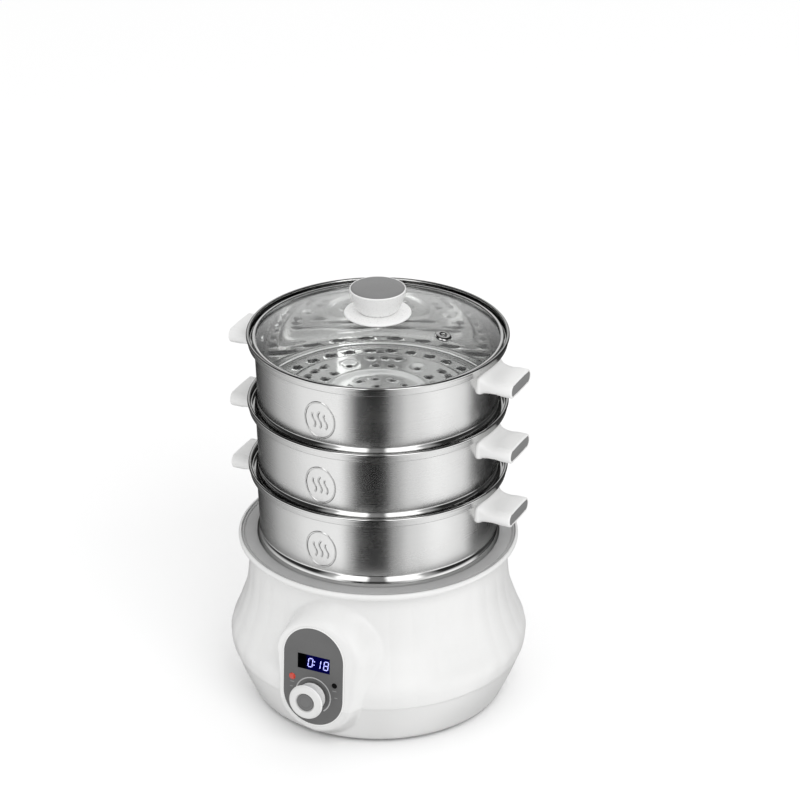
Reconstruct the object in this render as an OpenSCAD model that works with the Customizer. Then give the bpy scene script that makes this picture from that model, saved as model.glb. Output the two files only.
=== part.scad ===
// Electric food steamer: a powered base that holds the water pan, three
// stacking steel steaming trays, and a glass lid with a knob.
// Millimetres. +Z is up, the dial faces -Y, the tray handles point along X.
// z = 0 is the surface that the feet stand on.

/* [Base] */
// Radius of the base body at its widest, 62 mm above the table
base_r = 145; // [144:0.5:146]
// Thickness of the base's moulded wall
base_wall = 2.6; // [2.2:0.1:3]
// Height of the ring that carries the first tray
seat_z = 168; // [168:0.5:168]
// Depth of the water pan below its rim
pan_depth = 53; // [45:1:56]
// Thickness of the sheet of the water pan
pan_t = 1; // [0.8:0.1:1.2]

/* [Control panel] */
// Tilt of the panel, its top leaning back
panel_tilt = 3; // [2:0.5:4]
// Half width of the panel, which is also its end radius
panel_r = 31.25; // [30:0.25:32]
// Distance between the centres of the panel's round ends
panel_len = 39.5; // [38:0.5:41]
// Distance from the tray axis to the panel, at the dial
dial_y = 146.4; // [145:0.2:148]
// Height of the dial's axis
dial_z = 59.3; // [58:0.1:61]
// Width of the display window
window_w = 34; // [30:1:36]
// Height of the display window
window_h = 16; // [14:1:18]

/* [Dial] */
// Radius of the dial at its face
dial_r = 17.5; // [16:0.5:18]
// Radius of the dial at its skirt
dial_skirt_r = 14; // [13:0.5:15]
// Distance from the panel to the dial's face
dial_len = 18.3; // [17:0.1:20]
// Travel of the dial when it is pressed
press_travel = 0.8; // [0.6:0.1:0.8]

/* [Trays] */
// Radius of a tray over its rolled rim
rim_r = 125; // [124.5:0.1:125.5]
// Height that each tray adds to the stack
tray_pitch = 68; // [68:0.5:68]
// Number of holes in the outer ring of a steaming tray
outer_holes = 30; // [24:2:36]
// Radius of those holes
outer_hole_r = 3.25; // [2.5:0.25:3.5]
// Radius of the fine holes in the first tray
fine_hole_r = 1.5; // [1:0.25:2]
// Outer radius of the steam tube in the first tray
tube_r = 13.2; // [12:0.2:14]
// Height of the tube's top above the table
tube_top_z = 219.5; // [205:0.5:225]

/* [Handles] */
// Distance from the tray axis to the end of a handle
handle_reach = 148; // [144:1:152]
// Width of a grip
grip_w = 47.5; // [44:0.5:50]
// Thickness of a grip
grip_t = 15.3; // [14:0.1:17]

/* [Lid] */
// Radius of the outside of the glass dome
dome_r = 290; // [285:1:300]
// Thickness of the glass
glass_t = 3.5; // [3:0.1:3.8]
// Distance from the lid's centre to its steam vent
vent_at = 71; // [60:1:80]
// Bore radius of the vent
vent_r = 2.75; // [2.2:0.05:3]

/* [Hidden] */
$fn = 96;

// the footprint's centre is the origin, so the tray axis stands a little behind it
dial_front = dial_y + dial_len * cos(panel_tilt);
axis_y = (dial_front - base_r) / 2;

foot = 76.5;                         // rim to foot of a tray
rim_1 = seat_z + foot;
rim_2 = rim_1 + tray_pitch;
rim_3 = rim_2 + tray_pitch;
ledge = 8.5;                         // rim to the ledge that carries the next piece
lid_z = rim_3 - ledge;
dome_top = lid_z + 28.9;
dome_c = dome_top - dome_r;
vent_tilt = asin(vent_at / dome_r);
vent_turn = -5;
handle_z = -25.4;
screw_turn = 7.63;                   // each screw is this many degrees from the handle's middle
dr = base_r - 145;
tr = rim_r - 125;
pan_top = 165.4;
pan_floor = pan_top - 0.4 - pan_depth;   // upper face of the pan's floor
gland_z = 24;

shell_out = [for (p = [[121, 3.2], [122.7, 4.1], [124.2, 6.2], [125.7, 9], [127.7, 13.2], [131.6, 21.7],
    [135.2, 30], [138.3, 38], [141.5, 48], [143, 49.2], [144.3, 56], [145, 62.5], [144.3, 67.5],
    [142.7, 72.5], [138.4, 82.5], [134.8, 92.5], [131.3, 102.5], [128.8, 112.5], [127.2, 122.5],
    [126.4, 132.5], [125.6, 142.5], [124.9, 152.5], [125, 157.5]]) [p[0] + dr * min(1, p[1] / 62), p[1]]];
shell_lip = [[126.6, 160.6], [130.5, 162.5], [134, 163.2], [135.6, 164.6], [136, 166.4], [135.4, 168.4], [134.2, 169.3],
    [133.2, 168.9], [133, 168.2], [133, 165.4], [118.5, 165.4], [118.5, 163.9], [116, 163.9], [116, 161.8], [122.3, 161.8]];
shell_in = [for (i = [len(shell_out) - 1 : -1 : 3]) [shell_out[i][0] - base_wall, shell_out[i][1]]];

module at_axis() translate([0, axis_y, 0]) children();

// the panel's own frame: x to the right, y up the panel, z out of it
module on_panel() at_axis() translate([0, -dial_y, dial_z]) rotate([90 - panel_tilt, 0, 0]) children();

module stadium(r, l) {
    circle(r);
    translate([0, l]) circle(r);
    translate([-r, 0]) square([2 * r, l]);
}

module slot_shape(w, h) {
    r = h / 2;
    for (s = [-1, 1]) translate([s * (w / 2 - r), 0]) circle(r);
    square([w - 2 * r, h], center = true);
}

module soft_rect(w, h, r) {
    for (x = [-1, 1], y = [-1, 1]) translate([x * (w / 2 - r), y * (h / 2 - r)]) circle(r);
    square([w - 2 * r, h], center = true);
    square([w, h - 2 * r], center = true);
}

module ring(r1, r2, z1, z2) rotate_extrude() polygon([[r1, z1], [r2, z1], [r2, z2], [r1, z2]]);

module around(n, r, turn = 0) for (i = [0 : n - 1]) rotate([0, 0, turn + i * 360 / n]) translate([r, 0, 0]) children();

// ---------------------------------------------------------------- base

module shell_inside() rotate_extrude() polygon(concat([[0, 1], [121, 1], [121, 5.2]],
    [for (i = [len(shell_in) - 1 : -1 : 0]) shell_in[i]], [[0, shell_in[0][1]]]));

module base_shell() color("white") difference() {
    union() {
        at_axis() rotate_extrude() polygon(concat(shell_out, shell_lip, shell_in, [[121, 5.2]]));
        // raised lobe that carries the panel
        difference() {
            on_panel() translate([0, 0, -42]) linear_extrude(height = 41.7) stadium(panel_r + 5.5, panel_len);
            at_axis() shell_inside();
        }
        // posts for the cover's screws
        at_axis() for (a = [45 : 90 : 315]) rotate([0, 0, a]) {
            translate([112, 0, 5]) cylinder(r = 4.5, h = 21);
            translate([0, 1.5, 0]) rotate([90, 0, 0]) linear_extrude(height = 3)
                polygon([[112, 5], [121.5, 5.2], [124, 9.5], [132, 26], [112, 26]]);
        }
    }
    on_panel() {
        translate([0, 0, -70]) linear_extrude(height = 65) stadium(panel_r + 3, panel_len);
        translate([0, 0, -6]) linear_extrude(height = 10) stadium(panel_r - 2.6, panel_len);
        translate([0, 0, -2.2]) linear_extrude(height = 4) stadium(panel_r + 1.4, panel_len);
    }
    at_axis() {
        translate([0, 120, gland_z]) rotate([-90, 0, 0]) cylinder(r = 6.5, h = 30);
        around(4, 112, 45) translate([0, 0, 4]) cylinder(r = 1.5, h = 16);
    }
}

module support_ring() color("lightgray") at_axis() rotate_extrude() polygon([[114.2, 165.4], [132.7, 165.4],
    [132.7, 167.5], [132.3, 168], [130.4, 168], [130.1, 167.6], [129.7, 167.6], [129.4, 168], [114.7, 168], [114.2, 167.5]]);

module water_pan() color("silver") at_axis() {
    f = pan_floor;
    rotate_extrude() polygon([[0, f - pan_t], [104, f - pan_t], [108.6, f], [112.6, f + 3.2], [114.6, f + 7.5], [115.4, f + 12],
        [115.4, 164.6], [118.2, 164.6], [118.2, pan_top], [115.4 - pan_t, pan_top], [115.4 - pan_t, f + 12], [113.6, f + 7.9],
        [111.8, f + 4], [108.2, f + 1], [104, f], [0, f]]);
}

module pan_seal() color("whitesmoke") at_axis() ring(116, 118.2, 163.9, 164.6);

module element_path(r) translate([0, 0, pan_floor - pan_t - 9]) rotate([0, 0, 110])
    rotate_extrude(angle = 320) translate([45, 0]) circle(r);

module heating_plate() color("silver") at_axis() difference() {
    translate([0, 0, pan_floor - pan_t - 6.5]) cylinder(r = 62, h = 6.5);
    element_path(4);
}

module heater_element() color("dimgray") at_axis() {
    z = pan_floor - pan_t - 9;
    element_path(4);
    for (a = [115, 425]) rotate([0, 0, a]) translate([45, 0, z]) {
        translate([0, 0, -9]) cylinder(r = 3, h = 9);
        translate([0, 0, -17]) cylinder(r = 1.5, h = 9);
    }
}

module heater_bracket() color("silver") at_axis() {
    z = pan_floor - pan_t;
    difference() {
        translate([-70, -13, z - 15.5]) cube([140, 26, 2.5]);
        translate([0, 0, z - 20]) cylinder(r = 10, h = 10);
    }
    for (s = [-1, 1]) translate([s * 68.75 - 1.25, -13, z - 14]) cube([2.5, 26, 14]);
}

module thermostat() color("gainsboro") at_axis() {
    z = pan_floor - pan_t - 6.5;
    translate([0, 0, z - 9]) cylinder(r = 9.5, h = 9);
    for (s = [-1, 1]) translate([s * 5 - 0.4, -3, z - 17]) cube([0.8, 6, 9]);
}

module thermal_fuse() color("tan") at_axis() {
    z = pan_floor - pan_t - 6.5;
    translate([-7, 28, z - 2]) rotate([0, 90, 0]) cylinder(r = 2, h = 14);
    for (s = [-1, 1]) translate([s * 12 - 6, 28, z - 2]) rotate([0, 90, 0]) cylinder(r = 0.5, h = 12);
}

module bottom_cover() color("gainsboro") at_axis() difference() {
    union() {
        translate([0, 0, 2.4]) cylinder(r = 120.7, h = 2.6);
        for (x = [-1, 1], y = [-1, 1]) translate([x * 48, 6 + y * 28, 4]) cylinder(r = 3.2, h = 10);
    }
    around(4, 112, 45) {
        translate([0, 0, 2]) cylinder(r = 3.6, h = 1.6);
        translate([0, 0, 2]) cylinder(r = 1.7, h = 4);
    }
    for (x = [-1, 1], y = [-1, 1]) translate([x * 48, 6 + y * 28, 6]) cylinder(r = 1.3, h = 10);
    for (i = [-3 : 3]) translate([-26, -64 + i * 7 - 1.5, 1]) cube([52, 3, 6]);
}

module rubber_feet() color("dimgray") at_axis() around(4, 102) rotate_extrude()
    polygon([[0, 0], [8.2, 0], [9, 0.8], [9, 2.4], [0, 2.4]]);

module bottom_screws() color("silver") at_axis() around(4, 112, 45) difference() {
    union() {
        translate([0, 0, 2.5]) cylinder(r = 3.4, h = 1.1);
        translate([0, 0, 3]) cylinder(r = 1.5, h = 15);
    }
    for (a = [0, 90]) rotate([0, 0, a]) translate([-2, -0.35, 2]) cube([4, 0.7, 1.1]);
}

// ---------------------------------------------------------------- panel

module panel_bezel() color("white") on_panel() difference() {
    translate([0, 0, -2.2]) linear_extrude(height = 2.9) stadium(panel_r + 1.3, panel_len);
    translate([0, 0, -3]) linear_extrude(height = 5) stadium(panel_r, panel_len);
}

module panel_fascia() color("dimgray") on_panel() difference() {
    union() {
        translate([0, 0, -2.2]) linear_extrude(height = 2.2) stadium(panel_r, panel_len);
        for (s = [-1, 1], y = [-16, 55]) translate([s * 18, y, -10.4]) cylinder(r = 2.8, h = 9);
    }
    translate([0, 0, -3]) cylinder(r = 3.6, h = 5);
    translate([0.2 - window_w / 2, 34 - window_h / 2, -3]) cube([window_w, window_h, 5]);
    translate([-22.3, 15.2, -3]) cylinder(r = 3.5, h = 5);
    translate([22.3, 15.2, -3]) cylinder(r = 2.8, h = 5);
    for (s = [-1, 1], y = [-16, 55]) translate([s * 18, y, -11]) cylinder(r = 1.1, h = 8);
}

module display_window() color("black") on_panel()
    translate([0.2 - window_w / 2 + 0.1, 34 - window_h / 2 + 0.1, -2.2]) cube([window_w - 0.2, window_h - 0.2, 2.05]);

module display_module() color("darkslategray") on_panel()
    translate([0.2 - window_w / 2 + 1.5, 34 - window_h / 2 + 1, -10.4]) cube([window_w - 3, window_h - 2, 8.1]);

module lamp(r) {
    rotate_extrude() polygon([[0, -4], [r - 0.1, -4], [r - 0.1, 0.1], [r - 0.6, 0.45], [r * 0.5, 0.75], [0, 0.85]]);
    translate([0, 0, -10.4]) cylinder(r = 2.4, h = 6.6);
}

module power_lamp() color("orangered") on_panel() translate([-22.3, 15.2, 0]) lamp(3.5);

module standby_lamp() color("black") on_panel() translate([22.3, 15.2, 0]) lamp(2.8);

module control_board() color("darkgreen") on_panel() difference() {
    union() {
        translate([-23, -23, -12]) cube([46, 83, 1.6]);
        translate([-12, 6, -15]) cube([14, 14, 3.2]);
        translate([4, 22, -18]) cube([12, 8, 6.2]);
        translate([-16, 42, -14.5]) cube([30, 5, 2.8]);
    }
    for (s = [-1, 1], y = [-16, 55]) translate([s * 18, y, -13]) cylinder(r = 1.4, h = 4);
}

module power_board() color("darkgreen") at_axis() difference() {
    translate([0, 6, 0]) {
        translate([-55, -35, 14]) cube([110, 70, 1.6]);
        translate([-40, -24, 15]) cube([28, 13, 16]);
        translate([-2, -26, 15]) cube([26, 22, 21]);
        translate([36, -14, 15]) cylinder(r = 6.5, h = 22);
        translate([-38, 0, 15]) cube([20, 8, 14]);
        translate([16, 6, 15]) cube([18, 3, 22]);
    }
    for (x = [-1, 1], y = [-1, 1]) translate([x * 48, 6 + y * 28, 12]) cylinder(r = 1.6, h = 6);
}

module terminal_block() color("ivory") at_axis() translate([0, 31, 15.6]) difference() {
    translate([-17, -6, 0]) cube([34, 12, 13]);
    for (x = [-11, 0, 11]) {
        translate([x, 0, 6]) cylinder(r = 2, h = 8);
        translate([x, -7, 4.5]) rotate([-90, 0, 0]) cylinder(r = 1.6, h = 14);
    }
}

module small_screw(l) {
    translate([0, 0, 0]) cylinder(r = 2.4, h = 1.6);
    translate([0, 0, -l]) cylinder(r = 1.05, h = l + 0.5);
}

module board_screws() color("silver") {
    at_axis() for (x = [-1, 1], y = [-1, 1]) translate([x * 48, 6 + y * 28, 15.6]) small_screw(7);
    on_panel() for (s = [-1, 1], y = [-16, 55]) translate([s * 18, y, -12]) rotate([180, 0, 0]) small_screw(6);
}

module encoder_body() color("silver") on_panel() difference() {
    union() {
        translate([-6.5, -6.5, -10.4]) cube([13, 13, 8.2]);
        translate([0, 0, -3]) cylinder(r = 3.5, h = 5);
    }
    translate([0, 0, -9.8]) cylinder(r = 5, h = 5);
    translate([0, 0, -6]) cylinder(r = 3.05, h = 10);
}

module encoder_nut() color("silver") on_panel() difference() {
    cylinder(r = 5.8, h = 1.9, $fn = 6);
    translate([0, 0, -1]) cylinder(r = 3.5, h = 4);
}

module encoder_plunger() color("ivory") on_panel() {
    translate([0, 0, -8.9]) cylinder(r = 4.92, h = 1.5);
    translate([0, 0, -8]) cylinder(r = 1.2, h = 2.4);
}

module encoder_shaft() color("silver") on_panel() difference() {
    union() {
        translate([0, 0, -7.3]) cylinder(r = 4.8, h = 2.4);
        translate([0, 0, -7.3]) cylinder(r = 3, h = 21.3);
    }
    translate([0, 0, -8]) cylinder(r = 1.25, h = 3);
}

module dial_shell() color("white") on_panel() difference() {
    rotate_extrude() difference() {
        polygon([[0, 3], [5.5, 3], [5.5, 13.2], [9.5, 14.2], [dial_skirt_r - 3.2, 12], [dial_skirt_r - 2.4, 6], [dial_skirt_r - 2.4, 1.4],
            [dial_skirt_r - 0.4, 1.4], [dial_skirt_r, 1.9], [dial_skirt_r + 0.2, 5], [dial_skirt_r + 0.9, 9.5],
            [dial_r - 1, 13.2], [dial_r, 15.4], [dial_r - 0.1, dial_len - 2], [dial_r - 0.7, dial_len - 1],
            [dial_r - 1.7, dial_len - 0.3], [dial_r - 3, dial_len], [10.3, dial_len], [9.4, dial_len - 0.4], [8.85, dial_len - 1.2], [8.85, dial_len - 2.6], [0, dial_len - 2.6]]);
    }
    translate([0, 0, -1]) cylinder(r = 3, h = 15);
}

module dial_cap() color("darkgray") on_panel() rotate_extrude()
    polygon([[0, dial_len - 2.6], [8.75, dial_len - 2.6], [8.75, dial_len - 0.9], [8.2, dial_len - 0.5], [0, dial_len - 0.2]]);

// solid of the base's wall up to a distance from its outer face, round the gland
module wall_to(d) rotate_extrude() polygon(concat([[0, shell_out[4][1]]],
    [for (i = [4 : 7]) [shell_out[i][0] + d, shell_out[i][1]]], [[0, shell_out[7][1]]]));

module cord_gland() color("dimgray") at_axis() difference() {
    union() {
        translate([0, 125.3, gland_z]) rotate([-90, 0, 0]) cylinder(r = 6.4, h = 11);
        difference() {
            translate([0, 127, gland_z]) rotate([-90, 0, 0]) cylinder(r = 8.6, h = 10.4);
            wall_to(0.12);
        }
        intersection() {
            translate([0, 123.6, gland_z]) rotate([-90, 0, 0]) cylinder(r = 8.2, h = 10.4);
            wall_to(-base_wall - 0.12);
        }
    }
    translate([0, 120, gland_z]) rotate([-90, 0, 0]) cylinder(r = 3.6, h = 24);
}

// ---------------------------------------------------------------- trays

rim_bead = [for (a = [235 : -15 : -35]) [rim_r - 1.6 + 1.6 * cos(a), -1.6 + 1.6 * sin(a)]];
tray_out = [for (p = [[124.4, -3.4], [123.4, -7.4], [122.9, -8.9], [121.6, -9.6], [118.4, -9.8], [117.6, -10.5],
    [117.25, -12.5], [115, -65.2], [115.3, -66.6], [116.6, -68.6], [117.5, -71.4], [117.8, -74.4], [117.7, -76], [117.3, -76.5],
    [114.2, -76.5], [113.5, -77.2], [113.3, -80]]) [p[0] + tr, p[1]]];
tray_in = [for (p = [[112.5, -80], [112.7, -76.9], [113.6, -75.7], [116.6, -75.7], [117, -74.4], [116.7, -71.6], [115.9, -69.2],
    [114.5, -67.4], [114.2, -66.6], [114.2, -65], [116.35, -12.6], [116.35, -9.6], [116.5, -8.9], [116.9, -8.5], [121.6, -8.5],
    [122.3, -8.2], [122.6, -7.2], [123.1, -3.6]]) [p[0] + tr, p[1]]];

module tray_body_envelope() rotate_extrude() polygon(concat([[0, -3.4]], [for (i = [0 : 7]) tray_out[i]], [[0, tray_out[7][1]]]));

// the two screws of each handle lie along the radius
module screw_lines() for (s = [0, 180], a = [-1, 1]) rotate([0, 0, s + a * screw_turn]) translate([0, 0, handle_z])
    rotate([0, 90, 0]) children();

module tray_wall() color("silver") difference() {
    rotate_extrude() polygon(concat(tray_out, tray_in, rim_bead));
    screw_lines() translate([0, 0, 100]) cylinder(r = 1.8, h = 30, $fn = 32);
}

module handle() color("white") difference() {
    union() {
        translate([0, 0, handle_z]) rotate([90, 0, 90]) linear_extrude(height = handle_reach) slot_shape(grip_w, grip_t);
        translate([0, 0, -23.4]) rotate([90, 0, 90]) linear_extrude(height = 118.4) soft_rect(52, 23, 6);
        hull() {
            translate([118.2, 0, -23.4]) rotate([90, 0, 90]) linear_extrude(height = 0.2) soft_rect(52, 23, 6, $fn = 32);
            translate([122, 0, -24.6]) rotate([90, 0, 90]) linear_extrude(height = 0.2) soft_rect(48.8, 17.6, 7.6, $fn = 32);
            translate([127, 0, handle_z]) rotate([90, 0, 90]) linear_extrude(height = 0.2) slot_shape(grip_w, grip_t, $fn = 32);
        }
    }
    tray_body_envelope();
    translate([-200, -100, -60]) cube([300, 200, 80]);
    translate([handle_reach - 1.5, 0, handle_z]) rotate([90, 0, 90]) linear_extrude(height = 5) slot_shape(grip_w - 4.4, grip_t - 3.2);
    screw_lines() translate([0, 0, 100]) cylinder(r = 1.7, h = 28, $fn = 32);
}

module tray_end_caps() color("gray") for (s = [0, 180]) rotate([0, 0, s])
    translate([handle_reach - 1.5, 0, handle_z]) rotate([90, 0, 90]) linear_extrude(height = 1.3) slot_shape(grip_w - 4.6, grip_t - 3.4);

module tray_screws() color("silver") screw_lines() rotate_extrude()
    polygon([[0, 113.9], [1.6, 114], [2.9, 114.6], [3.3, 115.3], [3.3, 115.7], [1.7, 115.7], [1.7, 126], [0, 127]]);

module tray_place(rim) at_axis() translate([0, 0, rim]) children();

// pressed floor of the second and third trays, upper face first
floor_top = [[0, -66.4], [43, -66.4], [44.6, -65.6], [46.4, -63.8], [48, -63.2], [49.6, -63.8], [51.2, -64.4], [52.6, -64.5],
    [85, -64.5], [87.4, -65.2], [89.4, -67.2], [91.4, -68], [104.6, -68], [106, -67.5], [107.5, -66.9], [109, -67.3],
    [110.4, -67.6], [112.2, -67.2], [113.4, -66.2], [113.4, -65]];

module dimple() rotate_extrude() polygon([[3, -2.4], [4.4, -2.3], [6.8, -1.4], [9.2, -0.8], [9.2, 0], [8.8, 0], [6.6, -0.6], [4.2, -1.5], [3, -1.6]]);

module steaming_floor() color("silver") {
    difference() {
        rotate_extrude() polygon(concat(floor_top, [[114.2, -65], [114.2, -66.6]],
            [for (i = [len(floor_top) - 3 : -1 : 0]) [floor_top[i][0], floor_top[i][1] - 0.8]]));
        around(outer_holes, 98.5) translate([0, 0, -75]) cylinder(r = outer_hole_r, h = 15);
        around(6, 66, 20) translate([0, 0, -75]) cylinder(r = 9, h = 15);
        for (k = [0 : 5]) rotate([0, 0, 50 + 60 * k]) {
            for (a = [-10, 0, 10]) rotate([0, 0, a]) translate([75, 0, -75]) cylinder(r = 3, h = 15);
            for (a = [-7.5, 7.5]) rotate([0, 0, a]) translate([57, 0, -75]) cylinder(r = 3, h = 15);
        }
        around(12, 31) translate([0, 0, -75]) cylinder(r = 2.5, h = 15);
        around(6, 15.5) translate([0, 0, -75]) cylinder(r = 2.5, h = 15);
    }
    around(6, 66, 20) translate([0, 0, -64.5]) dimple();
}

fine_rings = [[28, 97.5], [28, 86], [28, 69.5], [28, 57], [22, 43], [16, 28]];
plate_top = [[0, -72.4], [77, -72.4], [78.6, -71.8], [80.6, -68.9], [82.2, -68], [104.6, -68], [106, -67.5], [107.5, -66.9],
    [109, -67.3], [110.4, -67.6], [112.2, -67.2], [113.4, -66.2], [113.4, -65]];

module steam_plate() color("silver") difference() {
    rotate_extrude() polygon(concat(plate_top, [[114.2, -65], [114.2, -66.6]],
        [for (i = [len(plate_top) - 3 : -1 : 0]) [plate_top[i][0], plate_top[i][1] - 0.8]]));
    for (q = fine_rings) around(q[0], q[1]) translate([0, 0, -76]) cylinder(r = fine_hole_r, h = 12, $fn = 24);
    translate([0, 0, -76]) cylinder(r = tube_r, h = 10);
    rotate([0, 0, 152.5 + 360 / 32]) translate([30, -0.5, -76]) cube([9, 1, 8]);
}

module steam_tube() color("silver") at_axis() rotate_extrude() {
    h = tube_top_z;
    z = rim_1 - 72.4;
    polygon([[tube_r - 0.9, z - 3.2], [tube_r, z - 3.2], [tube_r, h - 0.5], [tube_r - 0.3, h], [tube_r - 0.7, h], [tube_r - 0.9, h - 0.4]]);
    polygon([[tube_r - 0.1, z], [tube_r + 2.6, z], [tube_r + 2.4, z + 0.6], [tube_r + 0.8, z + 1], [tube_r - 0.1, z + 2.4]]);
}

module tray_1_wall() tray_place(rim_1) tray_wall();
module tray_2_wall() tray_place(rim_2) tray_wall();
module tray_3_wall() tray_place(rim_3) tray_wall();
module tray_1_floor() tray_place(rim_1) steam_plate();
module tray_2_floor() tray_place(rim_2) steaming_floor();
module tray_3_floor() tray_place(rim_3) steaming_floor();

// ---------------------------------------------------------------- lid

module dome_up() at_axis() translate([0, 0, dome_c]) children();
module vent_line() dome_up() rotate([0, 0, vent_turn]) rotate([0, vent_tilt, 0]) children();

module glass_shape() difference() {
    intersection() {
        dome_up() sphere(dome_r);
        at_axis() translate([0, 0, lid_z + 0.6]) cylinder(r = 117.6, h = 60);
    }
    dome_up() sphere(dome_r - glass_t);
}

module lid_glass() color("lightcyan") difference() {
    glass_shape();
    at_axis() translate([0, 0, dome_top - 12]) cylinder(r = 4.5, h = 24);
    vent_line() translate([0, 0, dome_r - 12]) cylinder(r = 5, h = 24);
}

module lid_rim() color("silver") difference() {
    at_axis() rotate_extrude() polygon([[115.6, lid_z], [119.1, lid_z], [119.5, lid_z + 0.4], [119.5, lid_z + 4.6],
        [119, lid_z + 5.3], [118, lid_z + 5.6], [116.6, lid_z + 5.4], [116.2, lid_z + 5], [116.2, lid_z + 3], [115.6, lid_z + 0.6]]);
    glass_shape();
}

// height of a sphere about the dome's centre, at a distance from the axis
function dome_at(r, s) = dome_c + sqrt(s * s - r * r);

module lid_knob_base() color("white") at_axis() rotate_extrude() polygon(concat(
    [for (r = [2.6, 6, 10, 14, 18, 22, 26, 30, 31.6]) [r, dome_at(r, dome_r) + 0.01]],
    [for (p = [[31.9, -1.3], [31.9, -0.6], [31.5, 0.1], [30.7, 0.5], [29.6, 0.6], [24, 1], [17.8, 1.5], [2.6, 1.5]])
        [p[0], p[1] + dome_top]]));

module lid_knob() color("white") difference() {
    at_axis() rotate_extrude() polygon([for (p = [[0, 1.5], [17.6, 1.5], [19.2, 2.9], [20.8, 5], [22.2, 7.5],
        [23.4, 10.3], [24.4, 13.4], [25.2, 16.6], [25.9, 19.6], [26.4, 22.2], [26.7, 23.2], [26.7, 24], [26.3, 24.5], [25.8, 24.6],
        [25.5, 24.3], [25.5, 23.2], [0, 23.2]])
        [p[0], p[1] + dome_top]]);
    at_axis() translate([0, 0, dome_top]) cylinder(r = 2.4, h = 18);
}

module lid_knob_cap() color("gray") at_axis() rotate_extrude() polygon([for (p = [[0, 23.2], [25.4, 23.2], [25.4, 24.3],
    [24.8, 24.9], [22, 25.6], [16, 26.3], [8, 26.8], [0, 27]]) [p[0], p[1] + dome_top]]);

module lid_knob_screw() color("silver") at_axis() translate([0, 0, dome_top]) difference() {
    union() {
        translate([0, 0, -7.4]) rotate_extrude() polygon([[0, 0], [3.2, 0], [4.6, 0.8], [4.9, 2], [0, 2]]);
        translate([0, 0, -6]) cylinder(r = 2.4, h = 22);
    }
    for (a = [0, 90]) rotate([0, 0, a]) translate([-2.6, -0.5, -8]) cube([5.2, 1, 1.7]);
}

module lid_knob_washer() color("whitesmoke") at_axis() rotate_extrude() polygon(concat(
    [[2.4, dome_top - glass_t - 1.9], [9.6, dome_top - glass_t - 1.9], [10, dome_top - glass_t - 1.4]],
    [for (r = [10, 7.5, 4.4]) [r, dome_at(r, dome_r - glass_t) - 0.01]],
    [[4.4, dome_top - 1.2], [2.4, dome_top - 1.2]]));

module steam_vent() color("silver") difference() {
    vent_line() difference() {
        union() {
            translate([0, 0, dome_r - 0.6]) rotate_extrude() polygon([[0, 0], [8, 0], [8, 1.1], [7.2, 1.6], [0, 1.6]]);
            translate([0, 0, dome_r - glass_t - 1.2]) cylinder(r = 7, h = 1.6);
            translate([0, 0, dome_r - glass_t - 1]) cylinder(r = 4.9, h = glass_t + 1.6);
        }
        translate([0, 0, dome_r - 10]) cylinder(r = vent_r, h = 20);
    }
    difference() {
        glass_shape();
        vent_line() translate([0, 0, dome_r - 12]) cylinder(r = 5, h = 24);
    }
}

// ---------------------------------------------------------------- pieces

base_shell();
support_ring();
water_pan();
pan_seal();
heating_plate();
heater_element();
heater_bracket();
thermostat();
thermal_fuse();
bottom_cover();
rubber_feet();
bottom_screws();
panel_bezel();
panel_fascia();
display_window();
display_module();
power_lamp();
standby_lamp();
control_board();
power_board();
terminal_block();
board_screws();
encoder_body();
encoder_nut();
cord_gland();
encoder_plunger();
encoder_shaft();
dial_shell();
dial_cap();
tray_1_wall();
tray_1_floor();
tray_place(rim_1) rotate([0, 0, 180]) handle();  // tray_1_handle_left
tray_place(rim_1) handle();  // tray_1_handle_right
tray_place(rim_1) tray_end_caps();  // tray_1_end_caps
tray_place(rim_1) tray_screws();  // tray_1_screws
steam_tube();
tray_2_wall();
tray_2_floor();
tray_place(rim_2) rotate([0, 0, 180]) handle();  // tray_2_handle_left
tray_place(rim_2) handle();  // tray_2_handle_right
tray_place(rim_2) tray_end_caps();  // tray_2_end_caps
tray_place(rim_2) tray_screws();  // tray_2_screws
tray_3_wall();
tray_3_floor();
tray_place(rim_3) rotate([0, 0, 180]) handle();  // tray_3_handle_left
tray_place(rim_3) handle();  // tray_3_handle_right
tray_place(rim_3) tray_end_caps();  // tray_3_end_caps
tray_place(rim_3) tray_screws();  // tray_3_screws
lid_glass();
lid_rim();
lid_knob_base();
lid_knob();
lid_knob_cap();
lid_knob_screw();
lid_knob_washer();
steam_vent();
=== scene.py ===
import math

import bmesh
import bpy
import numpy as np
from mathutils import Matrix, Vector
from mathutils.geometry import delaunay_2d_cdt


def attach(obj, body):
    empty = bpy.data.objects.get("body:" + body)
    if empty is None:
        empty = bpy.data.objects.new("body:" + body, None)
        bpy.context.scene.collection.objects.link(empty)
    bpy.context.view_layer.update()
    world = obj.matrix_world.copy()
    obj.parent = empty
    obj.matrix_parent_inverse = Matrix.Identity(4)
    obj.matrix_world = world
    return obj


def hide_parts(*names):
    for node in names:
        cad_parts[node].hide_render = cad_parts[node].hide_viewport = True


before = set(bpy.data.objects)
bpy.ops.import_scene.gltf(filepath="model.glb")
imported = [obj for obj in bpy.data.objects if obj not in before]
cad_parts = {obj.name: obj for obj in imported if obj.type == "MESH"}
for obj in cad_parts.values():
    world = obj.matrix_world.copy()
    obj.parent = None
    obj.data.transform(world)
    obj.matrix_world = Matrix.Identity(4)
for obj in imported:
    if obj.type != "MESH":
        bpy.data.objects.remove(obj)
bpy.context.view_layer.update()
D2R = math.pi / 180.0
MM = 0.001

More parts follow.
